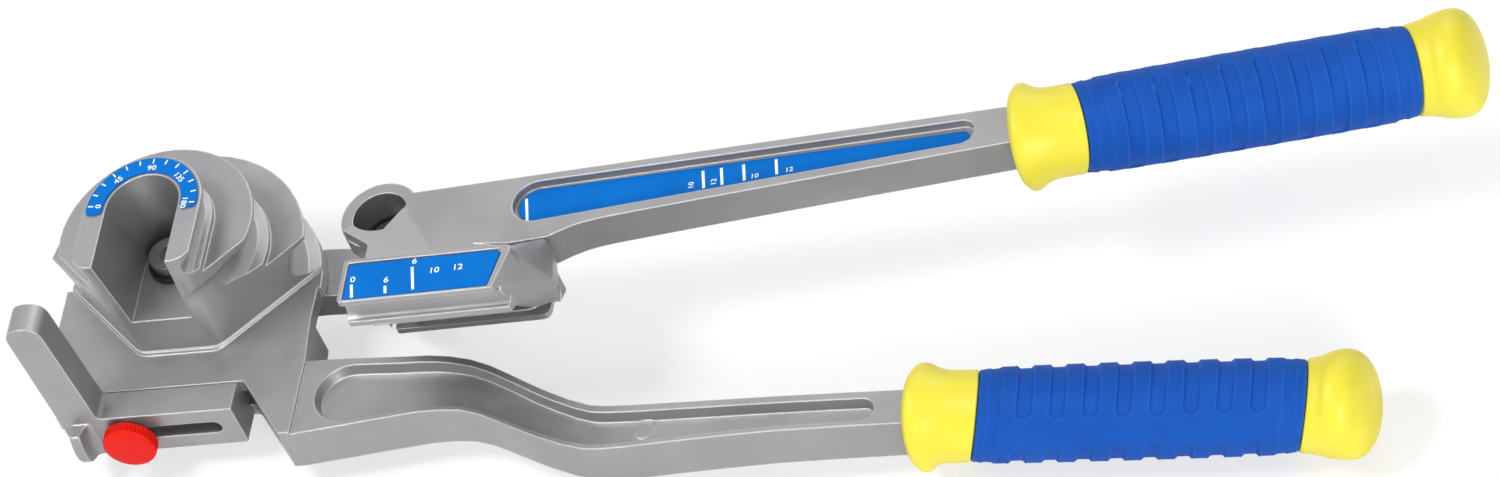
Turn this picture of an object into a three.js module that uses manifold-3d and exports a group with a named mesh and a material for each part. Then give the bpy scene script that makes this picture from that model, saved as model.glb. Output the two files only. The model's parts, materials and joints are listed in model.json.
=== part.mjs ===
// Hand-held lever bender for 6, 10 and 12 mm tube, with a ratcheting shoe lever.
// Millimetres, +Z up. The origin is the lower end of the mandrel's pivot bolt, on the
// surface that the tool lies on. +X runs along the fixed handle, +Y away from the hook.
import * as THREE from 'three';
import { mergeVertices } from 'three/addons/utils/BufferGeometryUtils.js';
import Module from 'manifold-3d';

const wasm = await Module();
wasm.setup();

// General clearances and fineness
const runningGap = 0.3;
const labelGap = 0.05;
const overrun = 1.0;
const roundSteps = 48;
const smallRoundSteps = 20;
const grooveSteps = 6;

// Levels above the surface that the tool lies on
const deckTop = 20.2;
const bodyDepth = 13.0;
const skin = 3.7;
const bodyFloor = deckTop - bodyDepth;
const skinUnder = deckTop - skin;

// Mandrel: three stepped rings, each with the groove of one tube
const shoeGap = 0.9;
const tiers = [
  { tube: 12.0, radius: 33.8, height: 13.8 },
  { tube: 10.0, radius: 25.2, height: 13.0 },
  { tube: 6.0, radius: 15.4, height: 9.4 },
];
const tubeFit = 0.1;
const frontFoot = 16.5;
const frontHead = 18.5;
const cornerFoot = 27.0;
const cornerHead = 31.2;
const frontCornerRadius = 5.0;
const cavityFloorRise = 13.0;
const cavityFloorHalf = 7.95;
const cavityTopHalf = 9.65;

// Deck plate and the beam under it
const deckLeft = -34.8;
const deckBack = 5.4;
const deckFront = -27.8;
const deckRight = 33.0;
const slantStart = 18.7;
const slantEnd = 31.0;
const beamBackLeft = -16.6;
const beamBackMiddle = -13.4;
const beamBackRight = -9.6;
const beamHollow = 5.0;
const beamWall = 3.2;
const footBead = 1.4;
const footBeadRise = 0.8;

// Fixed handle
const handleLength = 160.6;
const handleStart = 33.0;
const handleRootCentre = -33.9;
const handleSway = 18.0;
const handleRootWidth = 22.8;
const handleDrop = 0.8;
const handleRecessDepth = 2.8;
const handleRecessDraft = 0.9;
const handleBackRim = 2.0;
const handleFrontRim = 1.4;
const ejectorRadius = 2.9;
const tangWidth = 8.0;
const tangHeight = 8.0;
const tangLength = 58.0;

// Grips, alike on both handles
const gripLength = 113.4;
const gripRadius = 13.2;
const gripWaist = 11.1;
const gripBelly = 11.5;
const gripCoreRadius = 8.4;
const sleeveStart = 13.4;
const sleeveEnd = 95.4;
const sleeveLean = 0.43;
const slotCount = 8;
const slotPitch = 8.3;
const slotWidth = 3.6;
const slotDepth = 0.9;
const slotBandHalf = 3.7;
const gripSteps = 20;
const gripSeat = 0.8;
const fixedGripSway = -50.6;
const fixedGripStart = new THREE.Vector2(handleStart + handleLength + gripSeat, fixedGripSway);
const fixedGripAngle = -3.4;
const fixedGripTurn = 63;
const fixedGripLean = 47;
const fixedGripAxis = gripRadius;
const leverGripTurn = -32;
const leverGripLean = 166;

// Pivots and link
const linkLength = 56.3;
const linkRestAngle = 3.66;
const linkTop = skinUnder - runningGap;
const linkThickness = 7.5;
const linkBow = 6.0;
const linkHalfWidth = 7.4;
const linkMandrelEye = 11.0;
const linkLeverEye = 9.6;
const pivotRadius = 4.0;
const bushWall = 1.4;
const pivotHeadRadius = 5.2;
const pivotHeadHeight = 2.8;
const pivotWasherRadius = 6.2;
const washerThickness = 1.3;
const nutAcross = 13.0;
const nutFlangeRadius = 12.0;
const nutFlangeHeight = 1.6;
const leverNutAcross = 10.0;
const leverNutBottom = 7.2;
const leverWasherRadius = 6.4;
const leverPocketRadius = 7.0;
const leverPocketRoof = 12.7;

// Shoe lever, in its own frame: origin on its pivot, +X along the shoe's faces
const leverRestAngle = 1.0;
const zeroMark = 4.5;
const shoeLeft = 1.0;
const slabFrontEnd = 40.6;
const slabBackEnd = 44.1;
const slabBack = -26.8;
const slabDraft = 4.0;
const slabRimWidth = 1.1;
const slabRimHeight = 0.7;
const blockRight = 45.4;
const lowerBlockRight = 42.4;
const blockShoulder = -13.5;
const blockBack = -7.6;
const lipCut = 1.0;
const notchLeft = 0.2;
const notchBack = -12.0;
const bossRadius = 10.0;
const bossRim = 40.7;
const boreRadius = 7.0;
const boreFlat = 5.0;
const boreFlatAngle = -22.5;
const boreFlatDepth = 4.5;
const armAngle = 2.5;
const armThickness = 10.0;
const armBackRoot = 5.8;
const armBackTip = 3.0;
const armFrontRoot = -15.3;
const armFrontTip = -8.3;
const armLength = 162.8;
const armRise = 4.5;
const armRecessDepth = 2.4;
const webRise = 0.22;
const webCrease = new THREE.Vector2(7.5, 2.7);
const webCreaseAngle = -31.5;
const leverGripSway = -3.1;
const leverGripAngle = armAngle + 2.5;

// Ratchet under the lever's head
const ratchetTeeth = 24;
const ratchetRadius = 7.1;
const ratchetToothDepth = 0.9;
const ratchetHubRise = 9.0;
const pocketHeight = 2.8;
const coverThickness = 1.6;
const coverLift = 0.6;
const pawlThickness = 2.1;
const pawlPinRadius = 1.5;
const pawlPivot = new THREE.Vector2(20.5, -10.3);
const leverScrewRadius = 3.0;
const leverHeadRadius = 6.4;
const leverHeadHeight = 2.9;

// Hook, its slide and its clamp
const hookThickness = 8.2;
const hookBarHeight = 12.9;
const hookRight = 17.0;
const hookLeft = -27.6;
const hookPostWidth = 9.3;
const hookPostRise = 36.0;
const hookPostLean = -2.3;
const tabLeft = -26.0;
const tabWidth = 5.3;
const tabHeight = 11.7;
const tabReach = 4.6;
const tongueDepth = 2.6;
const tongueHeight = 5.0;
const clampX = -11.3;
const clampRise = 6.5;
const clampScrewRadius = 1.8;
const slotLeftReach = 2.6;
const slotRightEnd = 12.4;
const knobRadius = 6.8;
const knobThickness = 3.6;
const knobTeeth = 32;
const knobToothDepth = 0.35;
const clampWasherThickness = 0.8;
const clampWasherRadius = 4.6;

// Labels
const labelThickness = 0.4;
const scaleInner = 10.3;
const scaleOuter = 14.6;
const scaleOverlapAngle = 9;

const groups = { tool: new THREE.Group() };

function paint(color, roughness, metalness) {
  return { color, roughness, metalness };
}

const castAluminium = paint(0x9a9a9c, 0.42, 0.85);
const steel = paint(0xb9bcc0, 0.32, 1.0);
const darkSteel = paint(0x3a3b3e, 0.45, 0.9);
const blueRubber = paint(0x1550b4, 0.62, 0.0);
const yellowPlastic = paint(0xf2e532, 0.45, 0.0);
const redPlastic = paint(0xe8321f, 0.4, 0.0);
const blueLabel = paint(0x0a84f0, 0.35, 0.0);

// Geometry to solid and back

function signedVolume(position, index) {
  const a = new THREE.Vector3();
  const b = new THREE.Vector3();
  const c = new THREE.Vector3();
  let total = 0;
  for (let i = 0; i < index.length; i += 3) {
    a.fromBufferAttribute(position, index[i]);
    b.fromBufferAttribute(position, index[i + 1]);
    c.fromBufferAttribute(position, index[i + 2]);
    total += a.dot(b.cross(c));
  }
  return total;
}

function solid(geometry) {
  geometry.deleteAttribute('normal');
  geometry.deleteAttribute('uv');
  const merged = mergeVertices(geometry, 1e-4);
  const kept = [];
  const source = merged.index.array;
  for (let i = 0; i < source.length; i += 3) {
    const [a, b, c] = [source[i], source[i + 1], source[i + 2]];
    if (a !== b && b !== c && c !== a) kept.push(a, b, c);
  }
  if (signedVolume(merged.attributes.position, kept) < 0) kept.reverse();
  return new wasm.Manifold(new wasm.Mesh({
    numProp: 3,
    vertProperties: new Float32Array(merged.attributes.position.array),
    triVerts: new Uint32Array(kept),
  }));
}

function geometryOf(body) {
  const mesh = body.getMesh();
  const geometry = new THREE.BufferGeometry();
  geometry.setAttribute('position', new THREE.BufferAttribute(mesh.vertProperties, 3));
  geometry.setIndex(new THREE.BufferAttribute(mesh.triVerts, 1));
  return geometry;
}

function add(parent, name, body, look) {
  const geometry = geometryOf(body);
  geometry.computeVertexNormals();
  const mesh = new THREE.Mesh(geometry, new THREE.MeshStandardMaterial(look));
  mesh.name = name;
  parent.add(mesh);
  return mesh;
}

// Basic forms

function prism(points, bottom, top) {
  const shape = new THREE.Shape(points);
  const geometry = new THREE.ExtrudeGeometry(shape, { depth: top - bottom, bevelEnabled: false });
  geometry.translate(0, 0, bottom);
  return solid(geometry);
}

function cylinder(x, y, radius, bottom, top, steps = smallRoundSteps) {
  const geometry = new THREE.CylinderGeometry(radius, radius, top - bottom, steps);
  geometry.rotateX(Math.PI / 2);
  geometry.translate(x, y, (bottom + top) / 2);
  return solid(geometry);
}

function cylinderAlongY(x, z, radius, from, to, steps = smallRoundSteps) {
  const geometry = new THREE.CylinderGeometry(radius, radius, to - from, steps);
  geometry.translate(x, (from + to) / 2, z);
  return solid(geometry);
}

function block(x0, x1, y0, y1, z0, z1) {
  const geometry = new THREE.BoxGeometry(x1 - x0, y1 - y0, z1 - z0);
  geometry.translate((x0 + x1) / 2, (y0 + y1) / 2, (z0 + z1) / 2);
  return solid(geometry);
}

function revolve(profile, steps) {
  const geometry = new THREE.LatheGeometry(profile, steps);
  geometry.rotateX(Math.PI / 2);
  return solid(geometry);
}

// A closed skin between two outlines with as many points each.
function loft(lower, upper, bottom, top) {
  const count = lower.length;
  const vertices = [];
  for (const p of lower) vertices.push(p.x, p.y, bottom);
  for (const p of upper) vertices.push(p.x, p.y, top);
  const faces = [];
  for (let i = 0; i < count; i += 1) {
    const j = (i + 1) % count;
    faces.push(i, j, j + count, i, j + count, i + count);
  }
  for (const [a, b, c] of THREE.ShapeUtils.triangulateShape(lower, [])) faces.push(c, b, a);
  for (const [a, b, c] of THREE.ShapeUtils.triangulateShape(upper, [])) {
    faces.push(a + count, b + count, c + count);
  }
  const geometry = new THREE.BufferGeometry();
  geometry.setAttribute('position', new THREE.Float32BufferAttribute(vertices, 3));
  geometry.setIndex(faces);
  return solid(geometry);
}

function arc(x, y, radius, from, to, steps) {
  const points = [];
  for (let i = 0; i <= steps; i += 1) {
    const angle = THREE.MathUtils.degToRad(from + (to - from) * i / steps);
    points.push(new THREE.Vector2(x + radius * Math.cos(angle), y + radius * Math.sin(angle)));
  }
  return points;
}

// Replaces a corner between two straight edges with a tangent arc.
function roundedCorner(before, corner, after, radius, steps) {
  const toBefore = before.clone().sub(corner).normalize();
  const toAfter = after.clone().sub(corner).normalize();
  const half = Math.acos(THREE.MathUtils.clamp(toBefore.dot(toAfter), -1, 1)) / 2;
  const reach = radius / Math.tan(half);
  const start = corner.clone().addScaledVector(toBefore, reach);
  const end = corner.clone().addScaledVector(toAfter, reach);
  const curve = new THREE.QuadraticBezierCurve(start, corner, end);
  return curve.getPoints(steps);
}

function roundedOutline(corners, radii, steps = 5) {
  const points = [];
  corners.forEach((corner, i) => {
    const before = corners[(i + corners.length - 1) % corners.length];
    const after = corners[(i + 1) % corners.length];
    if (radii[i] > 0) points.push(...roundedCorner(before, corner, after, radii[i], steps));
    else points.push(corner.clone());
  });
  return points;
}

function stadium(from, to, radiusFrom, radiusTo, steps = 12) {
  const along = THREE.MathUtils.radToDeg(Math.atan2(to.y - from.y, to.x - from.x));
  return [
    ...arc(to.x, to.y, radiusTo, along - 90, along + 90, steps),
    ...arc(from.x, from.y, radiusFrom, along + 90, along + 270, steps),
  ];
}

function xy(x, y) {
  return new THREE.Vector2(x, y);
}

// Levels of the mandrel's rings, and of the shoe's faces that meet them

function tierLevels() {
  let bottom = deckTop;
  return tiers.map((tier) => {
    const level = { ...tier, bottom, top: bottom + tier.height, middle: bottom + tier.height / 2 };
    bottom = level.top;
    return level;
  });
}

const levels = tierLevels();
const mandrelTop = levels[2].top;
const cavityFloor = deckTop + cavityFloorRise;

function grooveProfile(tier, edge, inward) {
  const radius = tier.tube / 2 + tubeFit;
  return arc(edge, tier.middle, radius, -90, 90, grooveSteps)
    .map((p) => xy(edge + (p.x - edge) * inward, p.y));
}

function ringSolid(tier) {
  const rim = [xy(tier.radius, tier.bottom), ...grooveProfile(tier, tier.radius, -1), xy(tier.radius, tier.top)];
  return revolve([xy(0, tier.bottom), ...rim, xy(0, tier.top)], roundSteps);
}

// The topmost ring runs on straight towards the hook along both legs of the horseshoe.
function legSolid(tier) {
  const right = [xy(tier.radius, tier.bottom), ...grooveProfile(tier, tier.radius, -1), xy(tier.radius, tier.top)];
  const left = right.map((p) => xy(-p.x, p.y)).reverse();
  const geometry = new THREE.ExtrudeGeometry(new THREE.Shape([...right, ...left]), {
    depth: frontHead + overrun,
    bevelEnabled: false,
  });
  geometry.rotateX(Math.PI / 2);
  return solid(geometry);
}

function frontOutline(front, corner) {
  const far = tiers[0].radius + overrun;
  const turn = corner - front;
  return roundedOutline(
    [xy(-far, far), xy(-far, far - corner), xy(-turn, -front), xy(turn, -front), xy(far, far - corner), xy(far, far)],
    [0, 0, frontCornerRadius, frontCornerRadius, 0, 0],
  );
}

function cavityOutline(half) {
  return [...arc(0, 0, half, 0, 180, 18), xy(-half, -frontHead - overrun * 4), xy(half, -frontHead - overrun * 4)];
}

// A bead at the foot of the front wall, where the wall meets the deck.
function footBeadSolid() {
  const top = deckTop + footBeadRise;
  const radius = tiers[0].radius - labelGap;
  return cylinder(0, 0, radius, deckTop - footBeadRise, top, roundSteps).intersect(loft(
    frontOutline(frontFoot + footBead, cornerFoot + footBead),
    frontOutline(frontFoot + footBead / 4, cornerFoot + footBead / 4),
    deckTop - overrun,
    top + overrun / 2,
  ));
}

function mandrelSolid() {
  const [large, medium, small] = levels;
  const rings = ringSolid(large).add(ringSolid(medium)).add(ringSolid(small)).add(legSolid(small));
  const trimmed = rings.intersect(loft(
    frontOutline(frontFoot, cornerFoot),
    frontOutline(frontHead, cornerHead),
    deckTop,
    mandrelTop,
  ));
  const slope = (cavityTopHalf - cavityFloorHalf) / (mandrelTop - cavityFloor);
  return trimmed.subtract(loft(
    cavityOutline(cavityFloorHalf),
    cavityOutline(cavityTopHalf + slope * overrun),
    cavityFloor,
    mandrelTop + overrun,
  ));
}

// Fixed handle: a centre line and widths along its length, in shares of its main sizes

const handleShares = [
  [0.0, 0.0, 1.0],
  [0.079, -0.03, 0.92],
  [0.158, -0.05, 0.82],
  [0.223, -0.06, 0.75],
  [0.287, 0.04, 0.68],
  [0.346, 0.3, 0.65],
  [0.406, 0.6, 0.62],
  [0.48, 0.89, 0.585],
  [0.534, 0.95, 0.57],
  [0.653, 0.945, 0.51],
  [0.801, 0.945, 0.46],
  [1.0, 1.0, 0.44],
];
const handleRecessShares = { from: 0.1, to: 0.96 };
const ejectorShares = { along: 0.577, sway: 0.905 };

function handleSides(backInset, frontInset, fromShare, toShare) {
  const back = [];
  const front = [];
  for (const [along, sway, width] of handleShares) {
    const x = handleStart + along * handleLength;
    const centre = handleRootCentre - sway * handleSway;
    back.push(xy(x, centre + width * handleRootWidth / 2 - backInset));
    front.push(xy(x, centre - width * handleRootWidth / 2 + frontInset));
  }
  const steps = 20;
  const backCurve = new THREE.SplineCurve(back);
  const frontCurve = new THREE.SplineCurve(front);
  const sides = { back: [], front: [] };
  for (let i = 0; i <= steps; i += 1) {
    const share = fromShare + (toShare - fromShare) * i / steps;
    sides.back.unshift(backCurve.getPoint(share));
    sides.front.push(frontCurve.getPoint(share));
  }
  return sides;
}

function handleOutline() {
  const { back, front } = handleSides(0, 0, 0, 1);
  return [...front, ...back];
}

// The inner points of the half circle, anticlockwise, that joins two points.
function halfRound(from, to, steps) {
  const middle = from.clone().add(to).divideScalar(2);
  const start = THREE.MathUtils.radToDeg(Math.atan2(from.y - middle.y, from.x - middle.x));
  return arc(middle.x, middle.y, from.distanceTo(middle), start, start + 180, steps).slice(1, -1);
}

function handleRecessOutline(inset) {
  const { back, front } = handleSides(
    handleBackRim + inset,
    handleFrontRim + inset,
    handleRecessShares.from,
    handleRecessShares.to,
  );
  const right = halfRound(front[front.length - 1], back[0], 8);
  const left = halfRound(back[back.length - 1], front[0], 12);
  return [...front, ...right, ...back, ...left];
}

function placeAlong(start, angle, height) {
  return new THREE.Matrix4()
    .makeTranslation(start.x, start.y, height)
    .multiply(new THREE.Matrix4().makeRotationZ(THREE.MathUtils.degToRad(angle)));
}

function tangSolid(start, angle, height, clearance, before, roll = 0) {
  const geometry = new THREE.BoxGeometry(
    tangLength + before + clearance,
    tangWidth + 2 * clearance,
    tangHeight + 2 * clearance,
  );
  geometry.translate((tangLength + clearance - before) / 2, 0, 0);
  geometry.rotateX(THREE.MathUtils.degToRad(roll));
  geometry.applyMatrix4(placeAlong(start, angle, height));
  return solid(geometry);
}

function fixedHandleSolid() {
  const top = deckTop - handleDrop;
  const floor = top - handleRecessDepth;
  const slope = handleRecessDraft / handleRecessDepth;
  const bar = prism(handleOutline(), bodyFloor, top);
  const recess = loft(
    handleRecessOutline(handleRecessDraft),
    handleRecessOutline(-slope * overrun),
    floor,
    top + overrun,
  );
  const under = prism(handleRecessOutline(handleRecessDraft), bodyFloor - overrun, bodyFloor + handleRecessDepth);
  const ejector = cylinder(
    handleStart + ejectorShares.along * handleLength,
    handleRootCentre - ejectorShares.sway * handleSway,
    ejectorRadius,
    floor - overrun / 2,
    floor + overrun / 4,
  );
  const tang = tangSolid(fixedGripStart, fixedGripAngle, fixedGripAxis, 0, slotPitch);
  return bar.subtract(recess).subtract(under).add(ejector).add(tang);
}

const handleFrontRoot = handleRootCentre - handleRootWidth / 2 + labelGap * 2;

function deckSolid() {
  const corners = [
    xy(deckLeft, deckBack),
    xy(deckLeft, deckFront),
    xy(slantStart, deckFront),
    xy(slantEnd, handleFrontRoot),
    xy(deckRight + overrun, handleFrontRoot),
    xy(deckRight + overrun, handleRootCentre + handleRootWidth / 2),
    xy(deckRight, beamBackRight),
    xy(deckRight, 0),
    xy(deckRight - overrun, deckBack),
  ];
  const radii = [0, 1.5, 2, 0, 0, 0, 0, 0, 0].map((share) => share * overrun);
  const plate = prism(roundedOutline(corners, radii), skinUnder, deckTop);
  const radius = tiers[0].radius;
  const flange = cylinder(0, 0, radius, skinUnder, deckTop, roundSteps)
    .intersect(block(-radius, radius, 0, radius, skinUnder, deckTop));
  return plate.add(flange);
}

function beamSolid() {
  const eyeRoom = linkMandrelEye + overrun;
  const corners = [
    xy(deckLeft, beamBackLeft),
    xy(deckLeft, deckFront),
    xy(slantStart, deckFront),
    xy(slantEnd, handleFrontRoot),
    xy(deckRight + overrun, handleFrontRoot),
    xy(deckRight + overrun, handleRootCentre + handleRootWidth / 2),
    xy(deckRight, beamBackRight),
    xy(eyeRoom + beamWall, beamBackRight),
    xy(eyeRoom - overrun, beamBackMiddle),
    xy(-eyeRoom / 2, beamBackMiddle),
    xy(-eyeRoom, beamBackLeft),
  ];
  const radii = [0, 1.5, 2, 0, 0, 0, 0, 1, 1, 1, 1].map((share) => share * overrun);
  return prism(roundedOutline(corners, radii), bodyFloor, skinUnder + overrun);
}

// Pockets under the beam keep its walls even, as a casting's are.
function beamPockets() {
  const depth = skinUnder - beamHollow / 2;
  const back = beamBackLeft - beamWall;
  const front = deckFront + tongueDepth + beamWall;
  const left = block(deckLeft + beamWall, clampX - beamWall, front, back, bodyFloor - overrun, depth);
  const right = block(clampX + beamWall, slantStart - beamWall, front, back, bodyFloor - overrun, depth);
  return left.add(right);
}

function tongueSlot(clearance) {
  const middle = deckTop - clampRise;
  const half = tongueHeight / 2 + clearance;
  return block(
    deckLeft - overrun,
    slantStart + hookThickness,
    deckFront - overrun,
    deckFront + tongueDepth + clearance,
    middle - half,
    middle + half,
  );
}

function bodyCasting() {
  const pivotHole = cylinder(0, 0, pivotRadius + runningGap, bodyFloor, mandrelTop);
  const clampHole = cylinderAlongY(
    clampX,
    deckTop - clampRise,
    clampScrewRadius + runningGap,
    deckFront - overrun,
    beamBackLeft - beamWall / 2,
  );
  return mandrelSolid()
    .add(footBeadSolid())
    .add(deckSolid())
    .add(beamSolid())
    .add(fixedHandleSolid())
    .subtract(beamPockets())
    .subtract(tongueSlot(runningGap))
    .subtract(pivotHole)
    .subtract(clampHole);
}

// Grips along +X from the collar's face

function gripRevolve(profile) {
  const geometry = new THREE.LatheGeometry(profile.map(([along, radius]) => xy(radius, along)), gripSteps);
  geometry.rotateZ(-Math.PI / 2);
  return solid(geometry);
}

// The sleeve's ends and slots lie in leaning planes. The lean turns with each grip.
function leaningSlab(from, to, leanTurn) {
  const reach = gripRadius + overrun;
  const lean = sleeveLean * reach;
  const shape = new THREE.Shape([
    xy(from - lean, -reach),
    xy(to - lean, -reach),
    xy(to + lean, reach),
    xy(from + lean, reach),
  ]);
  const geometry = new THREE.ExtrudeGeometry(shape, { depth: reach * 2, bevelEnabled: false });
  geometry.translate(0, 0, -reach);
  geometry.rotateX(THREE.MathUtils.degToRad(leanTurn));
  return solid(geometry);
}

function gripBarrel(trim) {
  const middle = (sleeveStart + sleeveEnd) / 2;
  const slim = gripWaist - trim;
  return gripRevolve([
    [sleeveStart - gripWaist, 0],
    [sleeveStart - gripWaist, slim],
    [sleeveStart, slim],
    [middle, gripBelly - trim],
    [sleeveEnd, slim],
    [sleeveEnd + gripWaist, slim],
    [sleeveEnd + gripWaist, 0],
  ]);
}

const collarShares = [
  [0.0, 0.0],
  [0.0, 0.93],
  [0.007, 0.985],
  [0.02, 1.0],
  [0.035, 0.99],
  [0.055, 0.93],
  [0.075, 0.865],
];
const capShares = [
  [0.855, 0.845],
  [0.885, 0.9],
  [0.915, 0.975],
  [0.94, 1.0],
  [0.962, 0.985],
  [0.98, 0.9],
  [0.993, 0.7],
  [1.0, 0.42],
  [1.0, 0.0],
];

function gripCore(turn, leanTurn) {
  const toSize = ([along, out]) => [along * gripLength, out * gripRadius];
  const body = gripRevolve([
    ...collarShares.map(toSize),
    [sleeveStart, gripWaist],
    [sleeveEnd, gripWaist],
    ...capShares.map(toSize),
  ]);
  const seat = leaningSlab(sleeveStart, sleeveEnd, leanTurn)
    .subtract(gripRevolve([[0, 0], [0, gripCoreRadius], [gripLength, gripCoreRadius], [gripLength, 0]]));
  return body.subtract(seat).subtract(tangSolid(xy(0, 0), 0, 0, runningGap, overrun, -turn));
}

function slotCutter(index, leanTurn) {
  const middle = (sleeveStart + sleeveEnd) / 2 + (index - (slotCount - 1) / 2) * slotPitch;
  const from = middle - slotWidth / 2;
  const to = middle + slotWidth / 2;
  const inner = gripWaist - slotDepth;
  const rings = leaningSlab(from, to, leanTurn)
    .subtract(gripRevolve([[0, 0], [0, inner], [gripLength, inner], [gripLength, 0]]));
  const reach = gripRadius + overrun * 2;
  const band = block(0, gripLength, -slotBandHalf, slotBandHalf, -reach, reach);
  return rings.subtract(band);
}

function gripSleeve(leanTurn) {
  const bore = gripCoreRadius + runningGap;
  let sleeve = gripBarrel(0)
    .intersect(leaningSlab(sleeveStart + runningGap, sleeveEnd - runningGap, leanTurn))
    .subtract(gripRevolve([[0, 0], [0, bore], [gripLength, bore], [gripLength, 0]]));
  for (let i = 0; i < slotCount; i += 1) sleeve = sleeve.subtract(slotCutter(i, leanTurn));
  return sleeve;
}

function addGrip(parent, prefix, start, angle, height, turn, leanTurn) {
  const place = new THREE.Group();
  place.position.set(start.x, start.y, height);
  place.rotation.order = 'ZYX';
  place.rotation.z = THREE.MathUtils.degToRad(angle);
  place.rotation.x = THREE.MathUtils.degToRad(turn);
  parent.add(place);
  add(place, `${prefix}_grip_core`, gripCore(turn, leanTurn), yellowPlastic);
  add(place, `${prefix}_grip_sleeve`, gripSleeve(leanTurn), blueRubber);
}

// Fasteners on the two pivots

function hexNut(across, bottom, top, bore) {
  const corner = across / Math.sqrt(3);
  return prism(arc(0, 0, corner, 0, 300, 5), bottom, top)
    .subtract(cylinder(0, 0, bore, bottom - overrun, top + overrun));
}

function ring(outer, inner, bottom, top) {
  return cylinder(0, 0, outer, bottom, top).subtract(cylinder(0, 0, inner, bottom - overrun, top + overrun));
}

const linkBottom = linkTop - linkThickness;
const washerTop = linkBottom - runningGap;
const nutTop = washerTop - washerThickness - runningGap;

// The mandrel's nut has a wide flange, which the tool stands on.
function addPivotStack(parent) {
  const hole = pivotRadius + runningGap;
  const nut = hexNut(nutAcross, 0, nutTop, hole).add(ring(nutFlangeRadius, hole, 0, nutFlangeHeight));
  add(parent, 'pivot_lock_nut', nut, steel);
  const washer = ring(pivotWasherRadius + overrun, hole, nutTop + runningGap, washerTop);
  add(parent, 'pivot_thrust_washer', washer, steel);
}

// The lever's nut and washer sit in a pocket under the link's end.
function addLeverStack(parent) {
  const hole = leverScrewRadius + runningGap;
  const top = leverPocketRoof - runningGap;
  const bottom = top - washerThickness;
  add(parent, 'lever_lock_nut', hexNut(leverNutAcross, leverNutBottom, bottom - runningGap, hole), steel);
  add(parent, 'lever_thrust_washer', ring(leverWasherRadius, hole, bottom, top), steel);
}

function mandrelPivotBolt() {
  const seat = cavityFloor + runningGap + washerThickness + runningGap;
  const head = cylinder(0, 0, pivotHeadRadius, seat, seat + pivotHeadHeight);
  const socket = prism(arc(0, 0, pivotHeadRadius / 2, 0, 300, 5), seat + overrun, seat + pivotHeadHeight + overrun);
  return cylinder(0, 0, pivotRadius, 0, seat + overrun / 2).add(head).subtract(socket);
}

function addMandrelPivot(parent) {
  add(parent, 'pivot_bolt', mandrelPivotBolt(), darkSteel);
  const washer = ring(
    pivotWasherRadius,
    pivotRadius + runningGap,
    cavityFloor + runningGap,
    cavityFloor + runningGap + washerThickness,
  );
  add(parent, 'pivot_head_washer', washer, darkSteel);
  addPivotStack(parent);
}

// Link between the two pivots, bowed away from the fixed handle

function linkOutline() {
  const tip = xy(linkLength, 0);
  const steps = 14;
  const upper = [];
  const lower = [];
  for (let i = 0; i <= steps; i += 1) {
    const share = i / steps;
    const bow = linkBow * Math.sin(Math.PI * share);
    upper.push(xy(tip.x * share, bow + linkHalfWidth));
    lower.push(xy(tip.x * share, bow - linkHalfWidth));
  }
  return [...lower, ...upper.reverse()];
}

function ratchetOutline() {
  const points = [];
  for (let i = 0; i < ratchetTeeth; i += 1) {
    const pitch = 360 / ratchetTeeth;
    const low = THREE.MathUtils.degToRad(i * pitch);
    const high = THREE.MathUtils.degToRad((i + 0.85) * pitch);
    const root = ratchetRadius - ratchetToothDepth;
    points.push(xy(root * Math.cos(low), root * Math.sin(low)));
    points.push(xy(ratchetRadius * Math.cos(high), ratchetRadius * Math.sin(high)));
  }
  return points;
}

function linkSolid() {
  const bushHole = pivotRadius + runningGap + bushWall + runningGap;
  const bar = prism(linkOutline(), linkBottom, linkTop);
  const eye = cylinder(0, 0, linkMandrelEye, linkBottom, linkTop, roundSteps);
  const tip = cylinder(linkLength, 0, linkLeverEye, linkBottom, linkTop, roundSteps);
  const hub = prism(ratchetOutline().map((p) => xy(p.x + linkLength, p.y)), linkTop, linkTop + ratchetHubRise);
  const tipHole = cylinder(
    linkLength,
    0,
    leverScrewRadius + runningGap,
    linkBottom - overrun,
    linkTop + ratchetHubRise + overrun,
  );
  const nutPocket = cylinder(linkLength, 0, leverPocketRadius, linkBottom - overrun, leverPocketRoof);
  return bar.add(eye).add(tip).add(hub)
    .subtract(cylinder(0, 0, bushHole, linkBottom - overrun, linkTop + overrun))
    .subtract(nutPocket)
    .subtract(tipHole);
}

function addLink(parent) {
  const turned = new THREE.Group();
  turned.rotation.z = THREE.MathUtils.degToRad(linkRestAngle);
  parent.add(turned);
  add(turned, 'link_arm', linkSolid(), castAluminium);
  const bush = ring(pivotRadius + runningGap + bushWall, pivotRadius + runningGap, linkBottom, linkTop);
  add(turned, 'link_bush', bush, steel);
}

// Shoe lever

const mandrelReach = Math.sqrt(linkLength ** 2 - zeroMark ** 2);

// Distance from the lever's pivot to the shoe's face for one ring of the mandrel.
function shoeFace(tier) {
  return -(mandrelReach - tier.radius - shoeGap);
}

const armSlope = armRise / armLength;
const armTurn = THREE.MathUtils.degToRad(armAngle);
const leverGripStart = xy(armLength + gripSeat, leverGripSway).rotateAround(xy(0, 0), armTurn);

function raised(geometry) {
  const position = geometry.attributes.position;
  for (let i = 0; i < position.count; i += 1) {
    position.setZ(i, position.getZ(i) + position.getX(i) * armSlope);
  }
  return geometry;
}

// Prisms along the arm, which rises to its grip and is turned from the shoe's faces.
function risingPrism(points, bottom, top) {
  const geometry = new THREE.ExtrudeGeometry(new THREE.Shape(points), { depth: top - bottom, bevelEnabled: false });
  geometry.translate(0, 0, bottom);
  return solid(raised(geometry).rotateZ(armTurn));
}

const armFrontShares = [
  [0.275, 0.0],
  [0.304, 0.26],
  [0.339, 0.44],
  [0.408, 0.54],
  [0.644, 0.74],
  [1.0, 1.0],
];

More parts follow.
